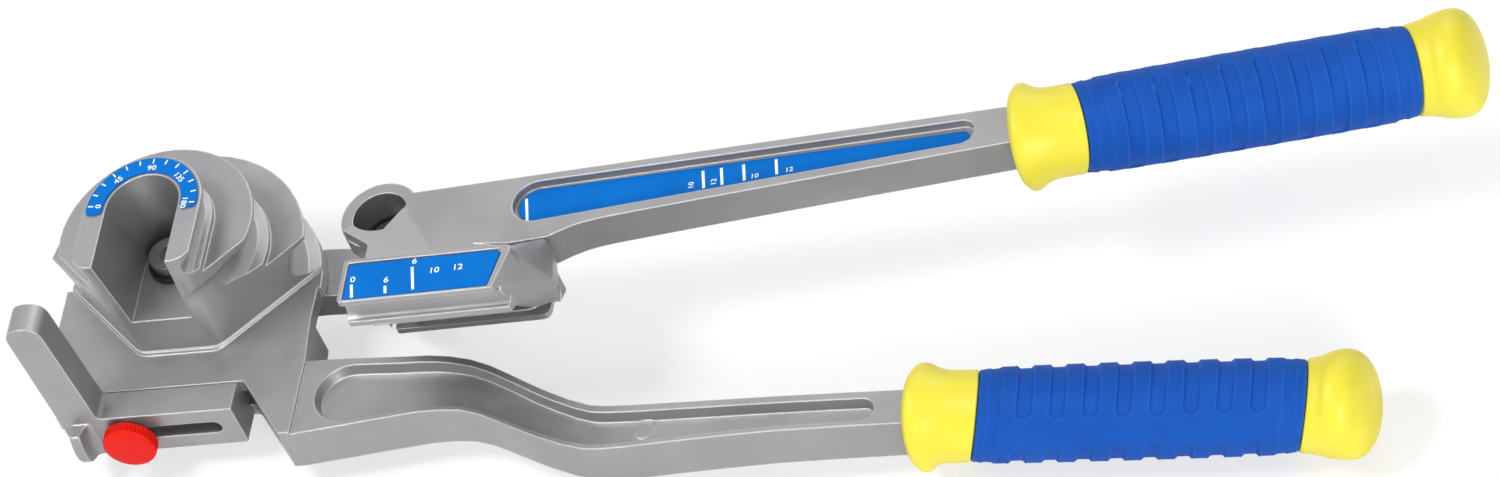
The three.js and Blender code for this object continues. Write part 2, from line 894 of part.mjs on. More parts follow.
function armOutline() {
  const front = armFrontShares.map(([along, share]) => xy(
    along * armLength,
    armFrontRoot + (armFrontTip - armFrontRoot) * share,
  ));
  const frontCurve = new THREE.SplineCurve(front).getPoints(16);
  return [
    xy(0, -bossRadius * 0.9),
    xy(front[0].x - bossRadius, armFrontRoot),
    ...frontCurve,
    xy(armLength, armBackTip),
    xy(0, armBackRoot),
  ];
}

const recessShares = { from: 0.2521, to: 0.9157, fromRadius: 0.62, toRadius: 0.36 };

function recessEnds() {
  const from = xy(armLength * recessShares.from, armBackRoot - bossRadius * 0.9);
  const to = xy(armLength * recessShares.to, (armBackTip + armFrontTip) / 2);
  return [from, to, bossRadius * recessShares.fromRadius, bossRadius * recessShares.toRadius];
}

function armSolid() {
  const [from, to, fromRadius, toRadius] = recessEnds();
  const bar = risingPrism(armOutline(), bossRim - armThickness, bossRim);
  const recess = risingPrism(stadium(from, to, fromRadius, toRadius), bossRim - armRecessDepth, bossRim + overrun);
  const tang = tangSolid(leverGripStart, leverGripAngle, leverGripAxis(), 0, slotPitch);
  return bar.subtract(recess).add(tang);
}

function leverGripAxis() {
  return bossRim - armThickness / 2 + armRise;
}

function grooveBar(tier, face, right) {
  const radius = tier.tube / 2 + tubeFit;
  const geometry = new THREE.CylinderGeometry(radius, radius, right - shoeLeft + overrun * 2, 20);
  geometry.rotateZ(Math.PI / 2);
  geometry.translate((right + shoeLeft) / 2, face, tier.middle);
  return solid(geometry);
}

function slabOutline(face, right) {
  return roundedOutline([
    xy(shoeLeft, face),
    xy(slabFrontEnd + right, face),
    xy(slabBackEnd + right, slabBack),
    xy(shoeLeft, slabBack),
  ], [1.2, 1.2, 2, 1.2].map((share) => share * overrun));
}

// The slab's end spreads downwards until it meets the block under it.
function slabSolid(tier, under) {
  const face = shoeFace(tier);
  const inner = roundedOutline([
    xy(shoeLeft + slabRimWidth, face + slabRimWidth / 2),
    xy(slabFrontEnd - slabRimWidth, face + slabRimWidth / 2),
    xy(slabBackEnd - slabRimWidth * 2, slabBack - slabRimWidth),
    xy(shoeLeft + slabRimWidth, slabBack - slabRimWidth),
  ], [0.6, 0.6, 1.2, 0.6].map((share) => share * overrun));
  const slab = loft(slabOutline(face, slabDraft), slabOutline(face, 0), under.middle, tier.top);
  const below = block(
    shoeLeft - overrun,
    slabBackEnd + slabDraft + overrun,
    face - overrun,
    shoeFace(under) + overrun,
    under.middle - overrun,
    tier.bottom,
  );
  return slab
    .subtract(below)
    .subtract(prism(inner, tier.top - slabRimHeight, tier.top + overrun))
    .subtract(grooveBar(tier, face, slabBackEnd));
}

function lowerBlock(tier, bottom, top) {
  const face = shoeFace(tier);
  const left = shoeLeft - bossRadius * 0.6;
  const corners = [
    xy(shoeLeft, face),
    xy(lowerBlockRight, face),
    xy(lowerBlockRight + overrun * 2, blockShoulder),
    xy(lowerBlockRight - bossRadius / 2, blockBack),
    xy(-bossRadius * 0.85, blockBack / 2),
    xy(left, blockShoulder - overrun * 2),
  ];
  return prism(roundedOutline(corners, [1, 5, 2, 0, 0, 2].map((share) => share * overrun)), bottom, top)
    .subtract(grooveBar(tier, face, blockRight));
}

// The web's block runs from the middle face back to the boss, with a notch at its left.
function webBlock(tier, bottom, top) {
  const face = shoeFace(tier);
  const corners = [
    xy(shoeLeft, face),
    xy(blockRight, face),
    xy(blockRight, blockShoulder),
    xy(bossRadius * 1.5, armBackRoot / 2),
    xy(0, 0),
    xy(-bossRadius * 0.75, -bossRadius * 0.65),
    xy(notchLeft, notchBack),
    xy(notchLeft + overrun, slabBack),
    xy(shoeLeft, slabBack - overrun),
  ];
  const radii = [1, 5, 1, 0, 0, 0, 2.5, 0, 0].map((share) => share * overrun);
  return prism(roundedOutline(corners, radii), bottom, top).subtract(grooveBar(tier, face, blockRight));
}

// Takes away what stands above the web's slope, which rises from the arm to the slab.
function aboveWeb() {
  const size = linkLength * 2;
  const geometry = new THREE.BoxGeometry(size, size, size);
  geometry.translate(0, 0, size / 2);
  geometry.rotateX(-Math.atan(webRise));
  geometry.rotateZ(THREE.MathUtils.degToRad(webCreaseAngle));
  geometry.translate(webCrease.x, webCrease.y, bossRim);
  return solid(geometry);
}

const coverTop = deckTop + coverLift + coverThickness;
const headBottom = coverTop + runningGap / 2;

function bossSolid() {
  return cylinder(0, 0, bossRadius, skinUnder, bossRim, roundSteps);
}

// The bore's mouth has a flat on the side of the web.
function boreLedge() {
  const geometry = new THREE.BoxGeometry(boreRadius, boreRadius * 4, boreFlatDepth + bossRadius);
  geometry.translate(boreFlat + boreRadius / 2, 0, bossRim - boreFlatDepth + (boreFlatDepth + bossRadius) / 2);
  geometry.rotateZ(THREE.MathUtils.degToRad(boreFlatAngle));
  return solid(geometry);
}

function bossBores() {
  const screwFloor = bossRim - leverHeadHeight - bossRadius + runningGap * 2;
  const hubRoof = linkTop + ratchetHubRise + runningGap;
  return cylinder(0, 0, boreRadius, screwFloor, bossRim + bossRadius, smallRoundSteps * 2)
    .subtract(boreLedge())
    .add(cylinder(0, 0, leverScrewRadius + runningGap, hubRoof - overrun, screwFloor + overrun))
    .add(cylinder(0, 0, ratchetRadius + runningGap, skinUnder - overrun, hubRoof, smallRoundSteps * 2));
}

const pawlLower = headBottom + runningGap;

function pawlPocket() {
  const outline = stadium(xy(ratchetRadius, -ratchetRadius / 2), pawlPivot, 4.4 * overrun, 4.4 * overrun);
  return prism(outline, skinUnder - overrun, headBottom + pocketHeight)
    .intersect(block(-bossRadius * 4, bossRadius * 4, -bossRadius * 4, bossRadius * 4, headBottom - overrun * 2, bossRim));
}

const coverScrewPlaces = [
  xy(shoeLeft + 5.0 * overrun, blockShoulder - 3 * overrun),
  xy(lowerBlockRight - 8.0 * overrun, blockShoulder - 2 * overrun),
  xy(lowerBlockRight - 8.5 * overrun, blockBack - 3.2 * overrun),
];
const coverScrewRadius = 1.25;

function leverCasting() {
  const [large, medium, small] = levels;
  const web = webBlock(medium, medium.bottom + lipCut, small.bottom + overrun * 2).subtract(aboveWeb());
  let body = bossSolid()
    .add(armSolid())
    .add(lowerBlock(large, headBottom, large.top + lipCut))
    .add(web)
    .add(slabSolid(small, medium))
    .subtract(bossBores())
    .subtract(pawlPocket())
    .subtract(cylinder(pawlPivot.x, pawlPivot.y, pawlPinRadius, headBottom, headBottom + pocketHeight * 2));
  for (const place of coverScrewPlaces) {
    body = body.subtract(cylinder(place.x, place.y, coverScrewRadius, headBottom - overrun, large.middle));
  }
  return body;
}

function addCover(parent) {
  const face = shoeFace(levels[0]) + runningGap;
  const right = lowerBlockRight - 1.5 * overrun;
  const corners = [
    xy(shoeLeft, face),
    xy(right, face),
    xy(right, blockShoulder),
    xy(right - bossRadius / 2, blockBack),
    xy(bossRadius + 1.5 * overrun, blockBack),
    xy(bossRadius + 1.5 * overrun, -bossRadius * 0.8),
    xy(shoeLeft, -bossRadius - 1.5 * overrun),
  ];
  const radii = [0.8, 2.5, 2, 0, 0, 0, 0].map((share) => share * overrun);
  let cover = prism(roundedOutline(corners, radii), deckTop + coverLift, coverTop);
  for (const place of coverScrewPlaces) {
    const hole = coverScrewRadius + runningGap;
    cover = cover.subtract(cylinder(place.x, place.y, hole, deckTop, coverTop + overrun));
  }
  add(parent, 'ratchet_cover', cover, steel);
}

function addCoverScrews(parent) {
  coverScrewPlaces.forEach((place, i) => {
    const shank = cylinder(
      place.x,
      place.y,
      coverScrewRadius - runningGap / 2,
      deckTop + coverLift,
      levels[0].middle - overrun,
      16,
    );
    add(parent, `cover_screw_${i + 1}`, shank, darkSteel);
  });
}

function leverScrew() {
  const seat = bossRim - leverHeadHeight - bossRadius + runningGap * 3;
  return cylinder(0, 0, leverHeadRadius, seat, seat + leverHeadHeight)
    .add(cylinder(0, 0, leverScrewRadius, leverNutBottom + runningGap, seat + overrun / 2))
    .subtract(prism(arc(0, 0, leverHeadRadius / 3, 0, 300, 5), seat + overrun, seat + leverHeadHeight + overrun));
}

function addRatchet(parent) {
  const pawl = new THREE.Group();
  parent.add(pawl);
  const nose = xy(ratchetRadius + 0.45 * overrun, -ratchetRadius * 0.54);
  const outline = stadium(nose, pawlPivot, 1.1 * overrun, 3.4 * overrun);
  const blade = prism(outline, pawlLower, pawlLower + pawlThickness)
    .subtract(cylinder(pawlPivot.x, pawlPivot.y, pawlPinRadius, pawlLower - overrun, pawlLower + pawlThickness + overrun));
  add(pawl, 'ratchet_pawl', blade, steel);
  const pin = cylinder(
    pawlPivot.x,
    pawlPivot.y,
    pawlPinRadius - runningGap,
    coverTop + runningGap / 2,
    headBottom + pocketHeight * 2 - runningGap,
  );
  add(parent, 'pawl_pin', pin, darkSteel);
}

function addLabels(parent) {
  const [from, to, fromRadius, toRadius] = recessEnds();
  const strip = stadium(from, to, fromRadius - overrun, toRadius / 2);
  const floor = bossRim - armRecessDepth + labelGap;
  add(parent, 'handle_scale', risingPrism(strip, floor, floor + labelThickness), blueLabel);
  const top = levels[2].top - slabRimHeight + labelGap;
  const face = shoeFace(levels[2]);
  const inset = slabRimWidth + runningGap;
  const plate = roundedOutline([
    xy(shoeLeft + inset, face + inset / 2 + runningGap / 2),
    xy(slabFrontEnd - inset, face + inset / 2 + runningGap / 2),
    xy(slabBackEnd - inset * 2, slabBack - inset),
    xy(shoeLeft + inset, slabBack - inset),
  ], [0.6, 0.6, 1.2, 0.6].map((share) => share * overrun));
  add(parent, 'shoe_scale', prism(plate, top, top + labelThickness), blueLabel);
}

function addLever(parent) {
  const angle = THREE.MathUtils.degToRad(linkRestAngle);
  const lever = new THREE.Group();
  lever.position.set(linkLength * Math.cos(angle), linkLength * Math.sin(angle), 0);
  lever.rotation.z = THREE.MathUtils.degToRad(leverRestAngle);
  parent.add(lever);
  add(lever, 'lever_casting', leverCasting(), castAluminium);
  add(lever, 'lever_pivot_screw', leverScrew(), steel);
  addLeverStack(lever);
  addCover(lever);
  addCoverScrews(lever);
  addRatchet(lever);
  addLabels(lever);
  addGrip(lever, 'lever', leverGripStart, leverGripAngle, leverGripAxis(), leverGripTurn, leverGripLean);
}

// Hook with its slide and clamp

const hookBack = deckFront - runningGap;
const hookFront = hookBack - hookThickness;
const clampZ = deckTop - clampRise;

function alongY(points, front, back) {
  const geometry = new THREE.ExtrudeGeometry(new THREE.Shape(points), { depth: back - front, bevelEnabled: false });
  geometry.rotateX(Math.PI / 2);
  geometry.translate(0, back, 0);
  return solid(geometry);
}

function hookOutline() {
  const bottom = deckTop - hookBarHeight;
  const top = deckTop + hookPostRise;
  const lean = hookPostLean;
  return roundedOutline([
    xy(hookLeft, bottom),
    xy(hookRight, bottom),
    xy(hookRight, deckTop),
    xy(hookLeft + hookPostWidth, deckTop),
    xy(hookLeft + hookPostWidth + lean, top),
    xy(hookLeft + lean, top),
  ], [2, 0.4, 0.4, 1.5, 4.4, 4.4].map((share) => share * overrun));
}

function fingerTab() {
  const bottom = deckTop - hookBarHeight;
  const side = roundedOutline([
    xy(hookFront + overrun, bottom),
    xy(hookFront + overrun, bottom + tabHeight),
    xy(hookFront - tabReach / 3, bottom + tabHeight),
    xy(hookFront - tabReach, bottom + tabHeight / 2),
    xy(hookFront - tabReach, bottom),
  ], [0, 0, 1.2, 2, 1.5].map((share) => share * overrun));
  const geometry = new THREE.ExtrudeGeometry(new THREE.Shape(side), { depth: tabWidth, bevelEnabled: false });
  geometry.rotateX(Math.PI / 2);
  geometry.rotateZ(Math.PI / 2);
  geometry.translate(tabLeft, 0, 0);
  return solid(geometry);
}

function hookSolid() {
  const half = tongueHeight / 2 - runningGap;
  const tongue = block(
    hookLeft + hookPostWidth,
    hookRight,
    hookBack - overrun,
    deckFront + tongueDepth - runningGap,
    clampZ - half,
    clampZ + half,
  );
  const slotHalf = clampScrewRadius + runningGap;
  const slot = alongY(
    stadium(xy(clampX - slotLeftReach + slotHalf, clampZ), xy(slotRightEnd - slotHalf, clampZ), slotHalf, slotHalf, 8),
    hookFront - overrun * 8,
    deckFront + tongueDepth + overrun,
  );
  return alongY(hookOutline(), hookFront, hookBack).add(tongue).subtract(slot).add(fingerTab());
}

function knobOutline(radius) {
  const points = [];
  for (let i = 0; i < knobTeeth * 2; i += 1) {
    const angle = Math.PI * i / knobTeeth;
    const out = radius - (i % 2) * knobToothDepth;
    points.push(xy(out * Math.cos(angle), out * Math.sin(angle)));
  }
  return points;
}

function addHookAndClamp(parent) {
  add(parent, 'hook', hookSolid(), castAluminium);
  const washerBack = hookFront - runningGap;
  const washerFront = washerBack - clampWasherThickness;
  const washer = cylinderAlongY(clampX, clampZ, clampWasherRadius, washerFront, washerBack)
    .subtract(cylinderAlongY(clampX, clampZ, clampScrewRadius + runningGap, washerFront - overrun, washerBack + overrun));
  add(parent, 'clamp_washer', washer, steel);
  const knobBack = washerFront - runningGap;
  const knobFront = knobBack - knobThickness;
  const knob = alongY(knobOutline(knobRadius).map((p) => xy(p.x + clampX, p.y + clampZ)), knobFront, knobBack)
    .subtract(cylinderAlongY(clampX, clampZ, clampScrewRadius + runningGap, knobFront + overrun, knobBack + overrun));
  add(parent, 'clamp_knob', knob, redPlastic);
  const screw = cylinderAlongY(
    clampX,
    clampZ,
    clampScrewRadius,
    knobFront + overrun + runningGap,
    beamBackLeft - beamWall,
  );
  add(parent, 'clamp_screw', screw, steel);
}

// The degree scale is a band round the horseshoe with rounded ends.
function scaleOutline() {
  const middle = (scaleInner + scaleOuter) / 2;
  const half = (scaleOuter - scaleInner) / 2;
  const end = THREE.MathUtils.radToDeg(half / middle) * 0.6 - scaleOverlapAngle;
  const outer = arc(0, 0, scaleOuter, end, 180 - end, 32);
  const inner = arc(0, 0, scaleInner, 180 - end, end, 32);
  const left = bandEnd(outer[outer.length - 1], inner[0], 180 + scaleOverlapAngle, middle);
  const right = bandEnd(inner[inner.length - 1], outer[0], -scaleOverlapAngle, middle);
  return [...outer, ...left, ...inner, ...right];
}

// Points of a flat round end between two points of a band, with its tip at an angle.
function bandEnd(from, to, tipAngle, middle) {
  const tip = arc(0, 0, middle, tipAngle, tipAngle, 1)[0];
  const centre = from.clone().add(to).divideScalar(2);
  const reach = tip.clone().sub(centre);
  const across = from.clone().sub(centre);
  const points = [];
  for (let i = 1; i < 6; i += 1) {
    const turn = Math.PI * i / 6;
    points.push(centre.clone()
      .addScaledVector(across, Math.cos(turn))
      .addScaledVector(reach, Math.sqrt(Math.sin(turn))));
  }
  return points;
}

function addBody(parent) {
  add(parent, 'body_casting', bodyCasting(), castAluminium);
  const scale = prism(scaleOutline(), mandrelTop + labelGap, mandrelTop + labelGap + labelThickness);
  add(parent, 'angle_scale', scale, blueLabel);
  addMandrelPivot(parent);
  addGrip(parent, 'fixed', fixedGripStart, fixedGripAngle, fixedGripAxis, fixedGripTurn, fixedGripLean);
}

addBody(groups.tool);
addLink(groups.tool);
addLever(groups.tool);
addHookAndClamp(groups.tool);

export default groups.tool;
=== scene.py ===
"""A hand-held ratchet tube bender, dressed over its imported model, in metres."""
import json
import math

import bmesh
import bpy
from mathutils import Matrix, Vector

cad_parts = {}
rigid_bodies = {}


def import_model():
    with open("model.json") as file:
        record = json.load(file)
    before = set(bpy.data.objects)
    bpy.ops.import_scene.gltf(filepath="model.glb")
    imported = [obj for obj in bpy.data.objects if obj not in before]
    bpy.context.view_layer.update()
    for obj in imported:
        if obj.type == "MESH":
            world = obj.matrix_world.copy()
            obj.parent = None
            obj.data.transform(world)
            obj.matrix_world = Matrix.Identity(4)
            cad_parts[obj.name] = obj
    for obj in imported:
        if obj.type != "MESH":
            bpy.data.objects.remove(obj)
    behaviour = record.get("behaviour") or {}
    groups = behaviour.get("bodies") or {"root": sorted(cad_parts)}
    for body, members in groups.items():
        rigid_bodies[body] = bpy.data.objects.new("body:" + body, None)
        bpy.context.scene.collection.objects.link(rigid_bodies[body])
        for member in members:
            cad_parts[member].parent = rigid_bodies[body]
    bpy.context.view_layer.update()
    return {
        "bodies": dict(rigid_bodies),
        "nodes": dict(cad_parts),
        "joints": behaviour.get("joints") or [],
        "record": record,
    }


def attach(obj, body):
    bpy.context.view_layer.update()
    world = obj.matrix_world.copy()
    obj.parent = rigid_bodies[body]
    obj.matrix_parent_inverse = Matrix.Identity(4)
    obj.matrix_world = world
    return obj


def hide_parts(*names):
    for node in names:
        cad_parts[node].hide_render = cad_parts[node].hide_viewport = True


MM = 0.001

# Camera of the photograph: angles in degrees, place in millimetres above the surface

ELEVATION = 45.79
AZIMUTH = -28.51
ROLL = -26.24
FOCAL_PX = 10169.0
PHOTO_WIDTH = 1500.0
DECK_TOP = 20.2
CAMERA_PLACE = (961.15, -1498.96, 1757.71 + DECK_TOP)
SENSOR = 36.0
CLIP_NEAR = 0.1
CLIP_FAR = 20.0


def camera_matrix():
    e, a, r = (math.radians(v) for v in (ELEVATION, AZIMUTH, ROLL))
    forward = Vector((math.sin(a) * math.cos(e), math.cos(a) * math.cos(e), -math.sin(e)))
    right = Vector((math.cos(a), -math.sin(a), 0.0))
    up = right.cross(forward)
    right_rolled = math.cos(r) * right + math.sin(r) * up
    up_rolled = -math.sin(r) * right + math.cos(r) * up
    turn = Matrix((right_rolled, up_rolled, -forward)).transposed().to_4x4()
    return Matrix.Translation(Vector(CAMERA_PLACE) * MM) @ turn


def make_camera():
    data = bpy.data.cameras.new("photo_camera")
    data.sensor_width = SENSOR
    data.lens = FOCAL_PX / PHOTO_WIDTH * SENSOR
    data.clip_start = CLIP_NEAR
    data.clip_end = CLIP_FAR
    camera = bpy.data.objects.new("photo_camera", data)
    camera.matrix_world = camera_matrix()
    bpy.context.scene.collection.objects.link(camera)
    bpy.context.scene.camera = camera


# Node materials

BEVEL_SAMPLES = 4
EDGE_FLAT = 0.985
EDGE_SHARP = 0.82
RIDGE_FROM = 0.51
RIDGE_TO = 0.6
NOISE_DETAIL = 4.0
NOISE_ROUGHNESS = 0.55
MIX_FIRST = 6
MIX_SECOND = 7
MIX_RESULT = 2


class Nodes:
    """A material under construction, with short calls for its nodes and links."""

    def __init__(self, name):
        self.material = bpy.data.materials.new(name)
        self.material.use_nodes = True
        self.tree = self.material.node_tree
        self.shader = self.tree.nodes["Principled BSDF"]
        self.place = self.add("ShaderNodeTexCoord").outputs["Object"]

    def add(self, kind, **values):
        node = self.tree.nodes.new(kind)
        for key, value in values.items():
            setattr(node, key, value)
        return node

    def link(self, source, target):
        self.tree.links.new(source, target)

    def noise(self, scale, detail=NOISE_DETAIL):
        node = self.add("ShaderNodeTexNoise")
        node.inputs["Scale"].default_value = scale
        node.inputs["Detail"].default_value = detail
        node.inputs["Roughness"].default_value = NOISE_ROUGHNESS
        self.link(self.place, node.inputs["Vector"])
        return node.outputs["Fac"]

    def ramp(self, source, low, high, first, second):
        node = self.add("ShaderNodeValToRGB")
        node.color_ramp.elements[0].position = low
        node.color_ramp.elements[1].position = high
        node.color_ramp.elements[0].color = first
        node.color_ramp.elements[1].color = second
        self.link(source, node.inputs["Fac"])
        return node.outputs["Color"]

    def value_range(self, source, low, high):
        node = self.add("ShaderNodeMapRange")
        node.inputs["To Min"].default_value = low
        node.inputs["To Max"].default_value = high
        self.link(source, node.inputs["Value"])
        return node.outputs["Result"]

    def share_between(self, source, start, end):
        """Nothing at the source's start value, and one at its end value."""
        node = self.add("ShaderNodeMapRange")
        node.inputs["From Min"].default_value = start
        node.inputs["From Max"].default_value = end
        self.link(source, node.inputs["Value"])
        return node.outputs["Result"]

    def bump(self, height, distance, strength, normal):
        node = self.add("ShaderNodeBump")
        node.inputs["Distance"].default_value = distance
        node.inputs["Strength"].default_value = strength
        self.link(height, node.inputs["Height"])
        self.link(normal, node.inputs["Normal"])
        return node.outputs["Normal"]

    def soft_edges(self, radius):
        node = self.add("ShaderNodeBevel", samples=BEVEL_SAMPLES)
        node.inputs["Radius"].default_value = radius
        return node.outputs["Normal"]

    def edge_share(self, radius):
        """One along edges, and nothing on the surfaces between them: the mask of a highlight painted into
        the base colour.
        """
        flat = self.add("ShaderNodeNewGeometry")
        dot = self.add("ShaderNodeVectorMath", operation="DOT_PRODUCT")
        self.link(self.soft_edges(radius), dot.inputs[0])
        self.link(flat.outputs["Normal"], dot.inputs[1])
        return self.share_between(dot.outputs["Value"], EDGE_FLAT, EDGE_SHARP)

    def ridge_share(self):
        """One on fine raised lines of a dense mesh: the mask of a highlight painted into the base colour.
        """
        place = self.add("ShaderNodeNewGeometry")
        return self.share_between(place.outputs["Pointiness"], RIDGE_FROM, RIDGE_TO)

    def blend(self, share, first, second):
        node = self.add("ShaderNodeMix", data_type="RGBA")
        self.link(share, node.inputs["Factor"])
        self.link(first, node.inputs[MIX_FIRST])
        node.inputs[MIX_SECOND].default_value = second
        return node.outputs[MIX_RESULT]

    def set(self, **values):
        for key, value in values.items():
            self.shader.inputs[key.replace("_", " ")].default_value = value


# Noise values between which a tone goes from its first to its second colour
TONE_SPAN = (0.3, 0.7)
GREY_COOLNESS = 1.02


def colour(red, green, blue):
    return (red, green, blue, 1.0)


def neutral(value):
    return colour(value, value, value)


def grey(value):
    return colour(value, value, value * GREY_COOLNESS)


def mottled(m, scale, detail, first, second, span=TONE_SPAN):
    return m.ramp(m.noise(scale, detail), *span, first, second)


def add_surface(m, tone, *, cloud_scale, roughness, grain_scale, grain_detail, grain_height,
                grain_strength, edge):
    """A tone, roughness clouded between two values, and a fine grain over softened edges."""
    m.link(tone, m.shader.inputs["Base Color"])
    m.link(m.value_range(m.noise(cloud_scale), *roughness), m.shader.inputs["Roughness"])
    grain = m.noise(grain_scale, grain_detail)
    normal = m.bump(grain, grain_height, grain_strength, m.soft_edges(edge))
    m.link(normal, m.shader.inputs["Normal"])


CAST_DARK = colour(0.275, 0.272, 0.278)
CAST_LIGHT = colour(0.335, 0.331, 0.338)
# A lighter grey painted along the casting's edges, hollow and raised alike, as a highlight
CAST_EDGE_HIGHLIGHT = colour(0.62, 0.615, 0.62)
CAST_HIGHLIGHT_WIDTH = 0.0006


def cast_material():
    m = Nodes("cast_aluminium")
    broad = mottled(m, scale=38.0, detail=3.0, first=CAST_DARK, second=CAST_LIGHT)
    # Painted highlight: the base colour is lightened along every edge
    tone = m.blend(m.edge_share(CAST_HIGHLIGHT_WIDTH), broad, CAST_EDGE_HIGHLIGHT)
    add_surface(m, tone, cloud_scale=150.0, roughness=(0.32, 0.46), grain_scale=2600.0,
                grain_detail=2.0, grain_height=0.00006, grain_strength=0.55, edge=0.0005)
    m.set(Metallic=0.7)
    return m.material


STEEL_DARKER = 0.88
STEEL_SPREAD = 0.06


def steel_material(name, shade, roughness):
    m = Nodes(name)
    tone = mottled(m, scale=300.0, detail=3.0, first=grey(shade * STEEL_DARKER), second=grey(shade))
    limits = (roughness - STEEL_SPREAD, roughness + STEEL_SPREAD)
    add_surface(m, tone, cloud_scale=900.0, roughness=limits, grain_scale=4000.0,
                grain_detail=2.0, grain_height=0.00003, grain_strength=0.4, edge=0.0002)
    m.set(Metallic=0.9)
    return m.material


RUBBER_DARK = colour(0.003, 0.058, 0.31)
RUBBER_LIGHT = colour(0.005, 0.072, 0.36)
# A lighter blue painted on the sleeve's fine raised lips as a highlight
RUBBER_RIDGE_HIGHLIGHT = colour(0.02, 0.13, 0.52)


def rubber_material():
    m = Nodes("blue_rubber")
    broad = mottled(m, scale=90.0, detail=4.0, first=RUBBER_DARK, second=RUBBER_LIGHT)
    # Painted highlight: the base colour is lightened on the raised lips
    tone = m.blend(m.ridge_share(), broad, RUBBER_RIDGE_HIGHLIGHT)
    add_surface(m, tone, cloud_scale=500.0, roughness=(0.55, 0.72), grain_scale=3000.0,
                grain_detail=3.0, grain_height=0.00005, grain_strength=0.5, edge=0.00015)
    m.set(Specular_IOR_Level=0.12)
    return m.material


PLASTIC_SMOOTHER = 0.05
PLASTIC_ROUGHER = 0.07


def plastic_material(name, first, second, roughness, grain_height, gloss):
    m = Nodes(name)
    tone = mottled(m, scale=60.0, detail=3.0, first=first, second=second)
    limits = (roughness - PLASTIC_SMOOTHER, roughness + PLASTIC_ROUGHER)
    add_surface(m, tone, cloud_scale=400.0, roughness=limits, grain_scale=2200.0,
                grain_detail=2.0, grain_height=grain_height, grain_strength=0.4, edge=0.0003)
    m.set(Specular_IOR_Level=gloss)
    return m.material


PAINT_SPAN = (0.2, 0.8)
PAINT_DARKER = 0.94
PAINT_ROUGHNESS = 0.45


def paint_material(name, shade):
    m = Nodes(name)
    dark = neutral(shade * PAINT_DARKER)
    tone = mottled(m, scale=700.0, detail=2.0, first=dark, second=neutral(shade), span=PAINT_SPAN)
    m.link(tone, m.shader.inputs["Base Color"])
    m.set(Roughness=PAINT_ROUGHNESS)
    return m.material


def make_materials():
    return {
        "cast_aluminium": cast_material(),
        "steel": steel_material("steel", shade=0.5, roughness=0.32),
        "dark_steel": steel_material("dark_steel", shade=0.045, roughness=0.38),
        "worn_steel": steel_material("worn_steel", shade=0.26, roughness=0.24),
        "blue_rubber": rubber_material(),
        "yellow_plastic": plastic_material(
            "yellow_plastic", colour(0.65, 0.565, 0.034), colour(0.71, 0.62, 0.046),
            roughness=0.42, grain_height=0.00003, gloss=0.3),
        "red_plastic": plastic_material(
            "red_plastic", colour(0.6, 0.007, 0.003), colour(0.67, 0.012, 0.005),
            roughness=0.4, grain_height=0.00004, gloss=0.1),
        "blue_label": plastic_material(
            "blue_label", colour(0.0, 0.122, 0.46), colour(0.0, 0.145, 0.52),
            roughness=0.36, grain_height=0.00001, gloss=0.08),
        "label_white": paint_material("label_white", shade=0.9),
    }


# The model's own pieces, dressed as they are, and what every new mesh needs

WORN_NODES = {
    "pivot_bolt": "worn_steel",
    "lever_pivot_screw": "worn_steel",
    "pivot_head_washer": "dark_steel",
}
WELD_REACH = 0.000002
HARD_CREASE = 30.0
MOULDED_CREASE = 50.0


def smooth_with_creases(piece, angle):
    piece.data.shade_smooth()
    split = piece.modifiers.new("creases", "EDGE_SPLIT")
    split.split_angle = math.radians(angle)


def dress_nodes(frame, materials):
    slot_of = {part["node"]: part["material_slot"] for part in frame["record"]["subparts"]}
    for name, node in frame["nodes"].items():
        node.data.materials.clear()
        node.data.materials.append(materials[WORN_NODES.get(name, slot_of[name])])
        normals = node.data.attributes.get("custom_normal")
        if normals is not None:
            node.data.attributes.remove(normals)
        weld = node.modifiers.new("weld", "WELD")
        weld.merge_threshold = WELD_REACH
        smooth_with_creases(node, HARD_CREASE)


def link_mesh(name, bm, material, body):
    mesh = bpy.data.meshes.new(name)
    bm.to_mesh(mesh)
    bm.free()
    mesh.materials.append(material)
    piece = bpy.data.objects.new(name, mesh)
    bpy.context.scene.collection.objects.link(piece)
    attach(piece, body)
    return piece


def add_formed_piece(name, bm, material, body, crease):
    """A closed form, smooth but for its creases."""
    bmesh.ops.recalc_face_normals(bm, faces=bm.faces)
    piece = link_mesh(name, bm, material, body)
    smooth_with_creases(piece, crease)
    return piece


def join_rings(bm, rings, closed):
    count = len(rings[0])
    pairs = list(zip(rings, rings[1:])) + ([(rings[-1], rings[0])] if closed else [])
    for low, high in pairs:
        for i in range(count):
            j = (i + 1) % count
            bm.faces.new((low[i], low[j], high[j], high[i]))


def cap_ring(bm, ring, place):
    centre = bm.verts.new(place)
    for i, corner in enumerate(ring):
        bm.faces.new((centre, corner, ring[(i + 1) % len(ring)]))


def joint_place(frame, name):
    """A joint's place in millimetres."""
    joints = frame["record"]["behaviour"]["joints"]
    place = next(joint["pos_m"] for joint in joints if joint["name"] == name)
    return [value / MM for value in place]


def top_level(frame, name):
    """The highest level of one of the model's nodes, in millimetres."""
    node = frame["nodes"][name]
    return max((node.matrix_world @ vertex.co).z for vertex in node.data.vertices) / MM


# Places on the lever are measured from its pivot, along and across its arm

LEVER_ANGLE = 3.5


class Lever:
    """The lever's own directions, as it stands at rest."""

    def __init__(self, frame):
        self.pivot = joint_place(frame, "lever_swing")
        self.cos = math.cos(math.radians(LEVER_ANGLE))
        self.sin = math.sin(math.radians(LEVER_ANGLE))

    def point(self, along, across):
        return Vector((
            self.pivot[0] + along * self.cos - across * self.sin,
            self.pivot[1] + along * self.sin + across * self.cos,
        ))

    def along(self, place):
        return (place.x - self.pivot[0]) * self.cos + (place.y - self.pivot[1]) * self.sin


# Printed marks, each as thin raised ink on its label

INK_THICKNESS = 0.03
FIGURE_LIFT = 0.02
FIGURE_WEIGHT = 0.0075
FIGURE_STRETCH = 1.15
FIGURE_RESOLUTION = 3
LABEL_TICK_WIDTH = 0.7
MARK_LEAN = 0.14


